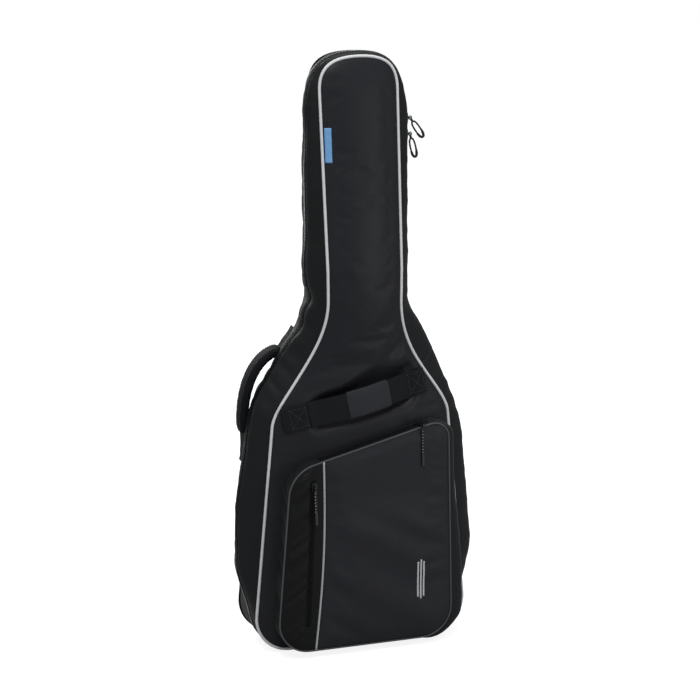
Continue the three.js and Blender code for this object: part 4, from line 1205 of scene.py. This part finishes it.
def hang_loop():
    """A loop of webbing that hangs down behind the head."""
    pivot, _ = joint_frame("hang_loop_swing")
    lean = unit([0, float(rear_y(962) - rear_y(922)), 40])
    out = unit(np.cross(RIGHT, lean))
    out = out if out @ REARWARD > 0 else -out
    radius, drop = 13.5, 46
    arc = [pivot + RIGHT * radius * math.cos(a) - lean * (drop + 13 * math.sin(a))
           for a in np.linspace(0, math.pi, 40)]
    path, _ = spaced(np.vstack([pivot + RIGHT * radius, *arc, pivot - RIGHT * radius]), 60)
    loop = sweep(path + out, out, band_section(8.5, 1.9, 6, 16))
    fitted("hang_loop_webbing", loop, "webbing", "webbing", "hang_loop", "hang_loop")


# ---- CAD nodes that stay ----

# Each row holds nodes, their material, the width of the rounding in millimetres, and its segments.
CARRIED_OVER = (
    (("zip_slider_upper", "zip_slider_lower", "pocket_zip_slider", "side_zip_slider"), "metal", 0.35, 3),
    (("ladder_lock_left", "ladder_lock_right"), "plastic", 0.9, 3),
    (("base_wear_patch",), "patch", 1.2, 3),
    (("bridge_patch",), "patch", 0.9, 3),
    (("neck_strap",), "webbing", 0.7, 3),
    (("neck_support", "head_pad", "tail_pad"), "lining", 4.0, 4),
    (("strap_tab_left", "strap_tab_right"), "webbing", 0.8, 3),
    (("hang_loop_patch",), "webbing", 0.6, 3),
)


def refine(node, material, width, segments):
    """Rounds a CAD node's edges and gives it a material; its own mesh isn't changed."""
    weld = node.modifiers.new("weld", "WELD")
    weld.merge_threshold = 1e-5
    bevel = node.modifiers.new("edges", "BEVEL")
    bevel.width = width * MM
    bevel.segments = segments
    bevel.limit_method = "ANGLE"
    bevel.angle_limit = math.radians(28)
    bevel.harden_normals = True
    node.data.materials.clear()
    node.data.materials.append(MATERIALS[material])
    for polygon in node.data.polygons:
        polygon.use_smooth = True


def carried_over():
    for names, material, width, segments in CARRIED_OVER:
        for name in names:
            refine(frame["nodes"][name], material, width, segments)


# ---- Stage ----

def area_light(name, place, target, size, power):
    light = bpy.data.lights.new(name, "AREA")
    light.shape = "RECTANGLE"
    light.size, light.size_y = size
    light.energy = power
    obj = bpy.data.objects.new(name, light)
    obj.location = place
    obj.rotation_euler = (Vector(target) - Vector(place)).to_track_quat("-Z", "Y").to_euler()
    bpy.context.scene.collection.objects.link(obj)


def seen_and_lit(tree, seen, lit):
    """A value that is one thing to the camera and another to the light that bounces."""
    path = tree.nodes.new("ShaderNodeLightPath")
    mix = tree.nodes.new("ShaderNodeMix")
    mix.inputs[2].default_value = lit
    mix.inputs[3].default_value = seen
    tree.links.new(path.outputs["Is Camera Ray"], mix.inputs["Factor"])
    return mix.outputs[0]


def pale_floor():
    """A wide floor that looks nearly white but throws little light back."""
    half = 40.0
    corners = [(-half, -half, 0), (half, -half, 0), (half, half, 0), (-half, half, 0)]
    mesh = bpy.data.meshes.new("floor")
    mesh.from_pydata(corners, [], [[0, 1, 2, 3]])
    pale = Shader("pale_floor", 0x9A9A9C, 0.9, mottle=0.01)
    pale.surface.inputs["Emission Color"].default_value = (1, 1, 1, 1)
    glow = seen_and_lit(pale.material.node_tree, 0.86, 0.04)
    pale.links.new(glow, pale.surface.inputs["Emission Strength"])
    mesh.materials.append(pale.material)
    floor = bpy.data.objects.new("floor", mesh)
    floor.location.z = -0.0005
    bpy.context.scene.collection.objects.link(floor)


def studio():
    world = bpy.data.worlds.new("studio")
    world.use_nodes = True
    tree = world.node_tree
    background = tree.nodes["Background"]
    background.inputs["Color"].default_value = (1, 1, 1, 1)
    tree.links.new(seen_and_lit(tree, 1.0, 0.4), background.inputs["Strength"])
    scene = bpy.context.scene
    scene.world = world
    scene.view_settings.view_transform = "Standard"
    middle = (0, 0, 0.5)
    area_light("key", (-0.9, -2.1, 3.1), middle, (1.0, 1.0), 44)
    area_light("strip", (1.3, -2.3, 0.5), (0, 0, 0.7), (0.3, 1.6), 14)
    area_light("top", (0.2, 0.3, 3.2), middle, (2.0, 2.0), 45)
    area_light("behind", (-0.9, 2.7, 1.9), middle, (1.6, 1.6), 60)


def camera():
    """A long lens, to the left of the front and a little above it."""
    azimuth, elevation, distance = math.radians(-19), math.radians(15), 4.5
    target = Vector((0, -0.052, 0.543))
    level = math.cos(elevation)
    back = Vector((math.sin(azimuth) * level, -math.cos(azimuth) * level, math.sin(elevation)))
    lens = bpy.data.cameras.new("camera")
    lens.sensor_width = 36
    lens.lens = 132.7
    lens.shift_x = -0.01543
    lens.clip_end = 50
    obj = bpy.data.objects.new("camera", lens)
    obj.location = target + back * distance
    obj.rotation_euler = back.to_track_quat("Z", "Y").to_euler()
    bpy.context.scene.collection.objects.link(obj)
    bpy.context.scene.camera = obj


# ---- The bag ----

cover_face = caster(front_cover())
rear_cover()
panel_padding("front", "front_lid", front_y, 1)
panel_padding("rear", "bag_body", rear_y, -1)
side_walls()
zip_half("main_zip_lid", "front_lid", -1, "zipper_tape_lid")
zip_half("main_zip_body", "bag_body", 1, "zipper_tape_body")
seam_cord("front_seam_piping", front_y, "piping", "front_lid", "front_piping")
seam_cord("rear_seam_binding", rear_y, "binding", "bag_body", "rear_piping")
pocket_face = caster(pocket_main_panel())
pocket_side_panel()
pocket_wall()
pocket_pipings()
pocket_zips()
pocket_mark(pocket_face)
zip_pulls()
front_webbing(cover_face)
front_wrap(cover_face)
side_handle()
shoulder_strap("left", -1)
shoulder_strap("right", 1)
anchor_patch()
hang_loop()
carried_over()
woven_tag()
pale_floor()
studio()
camera()
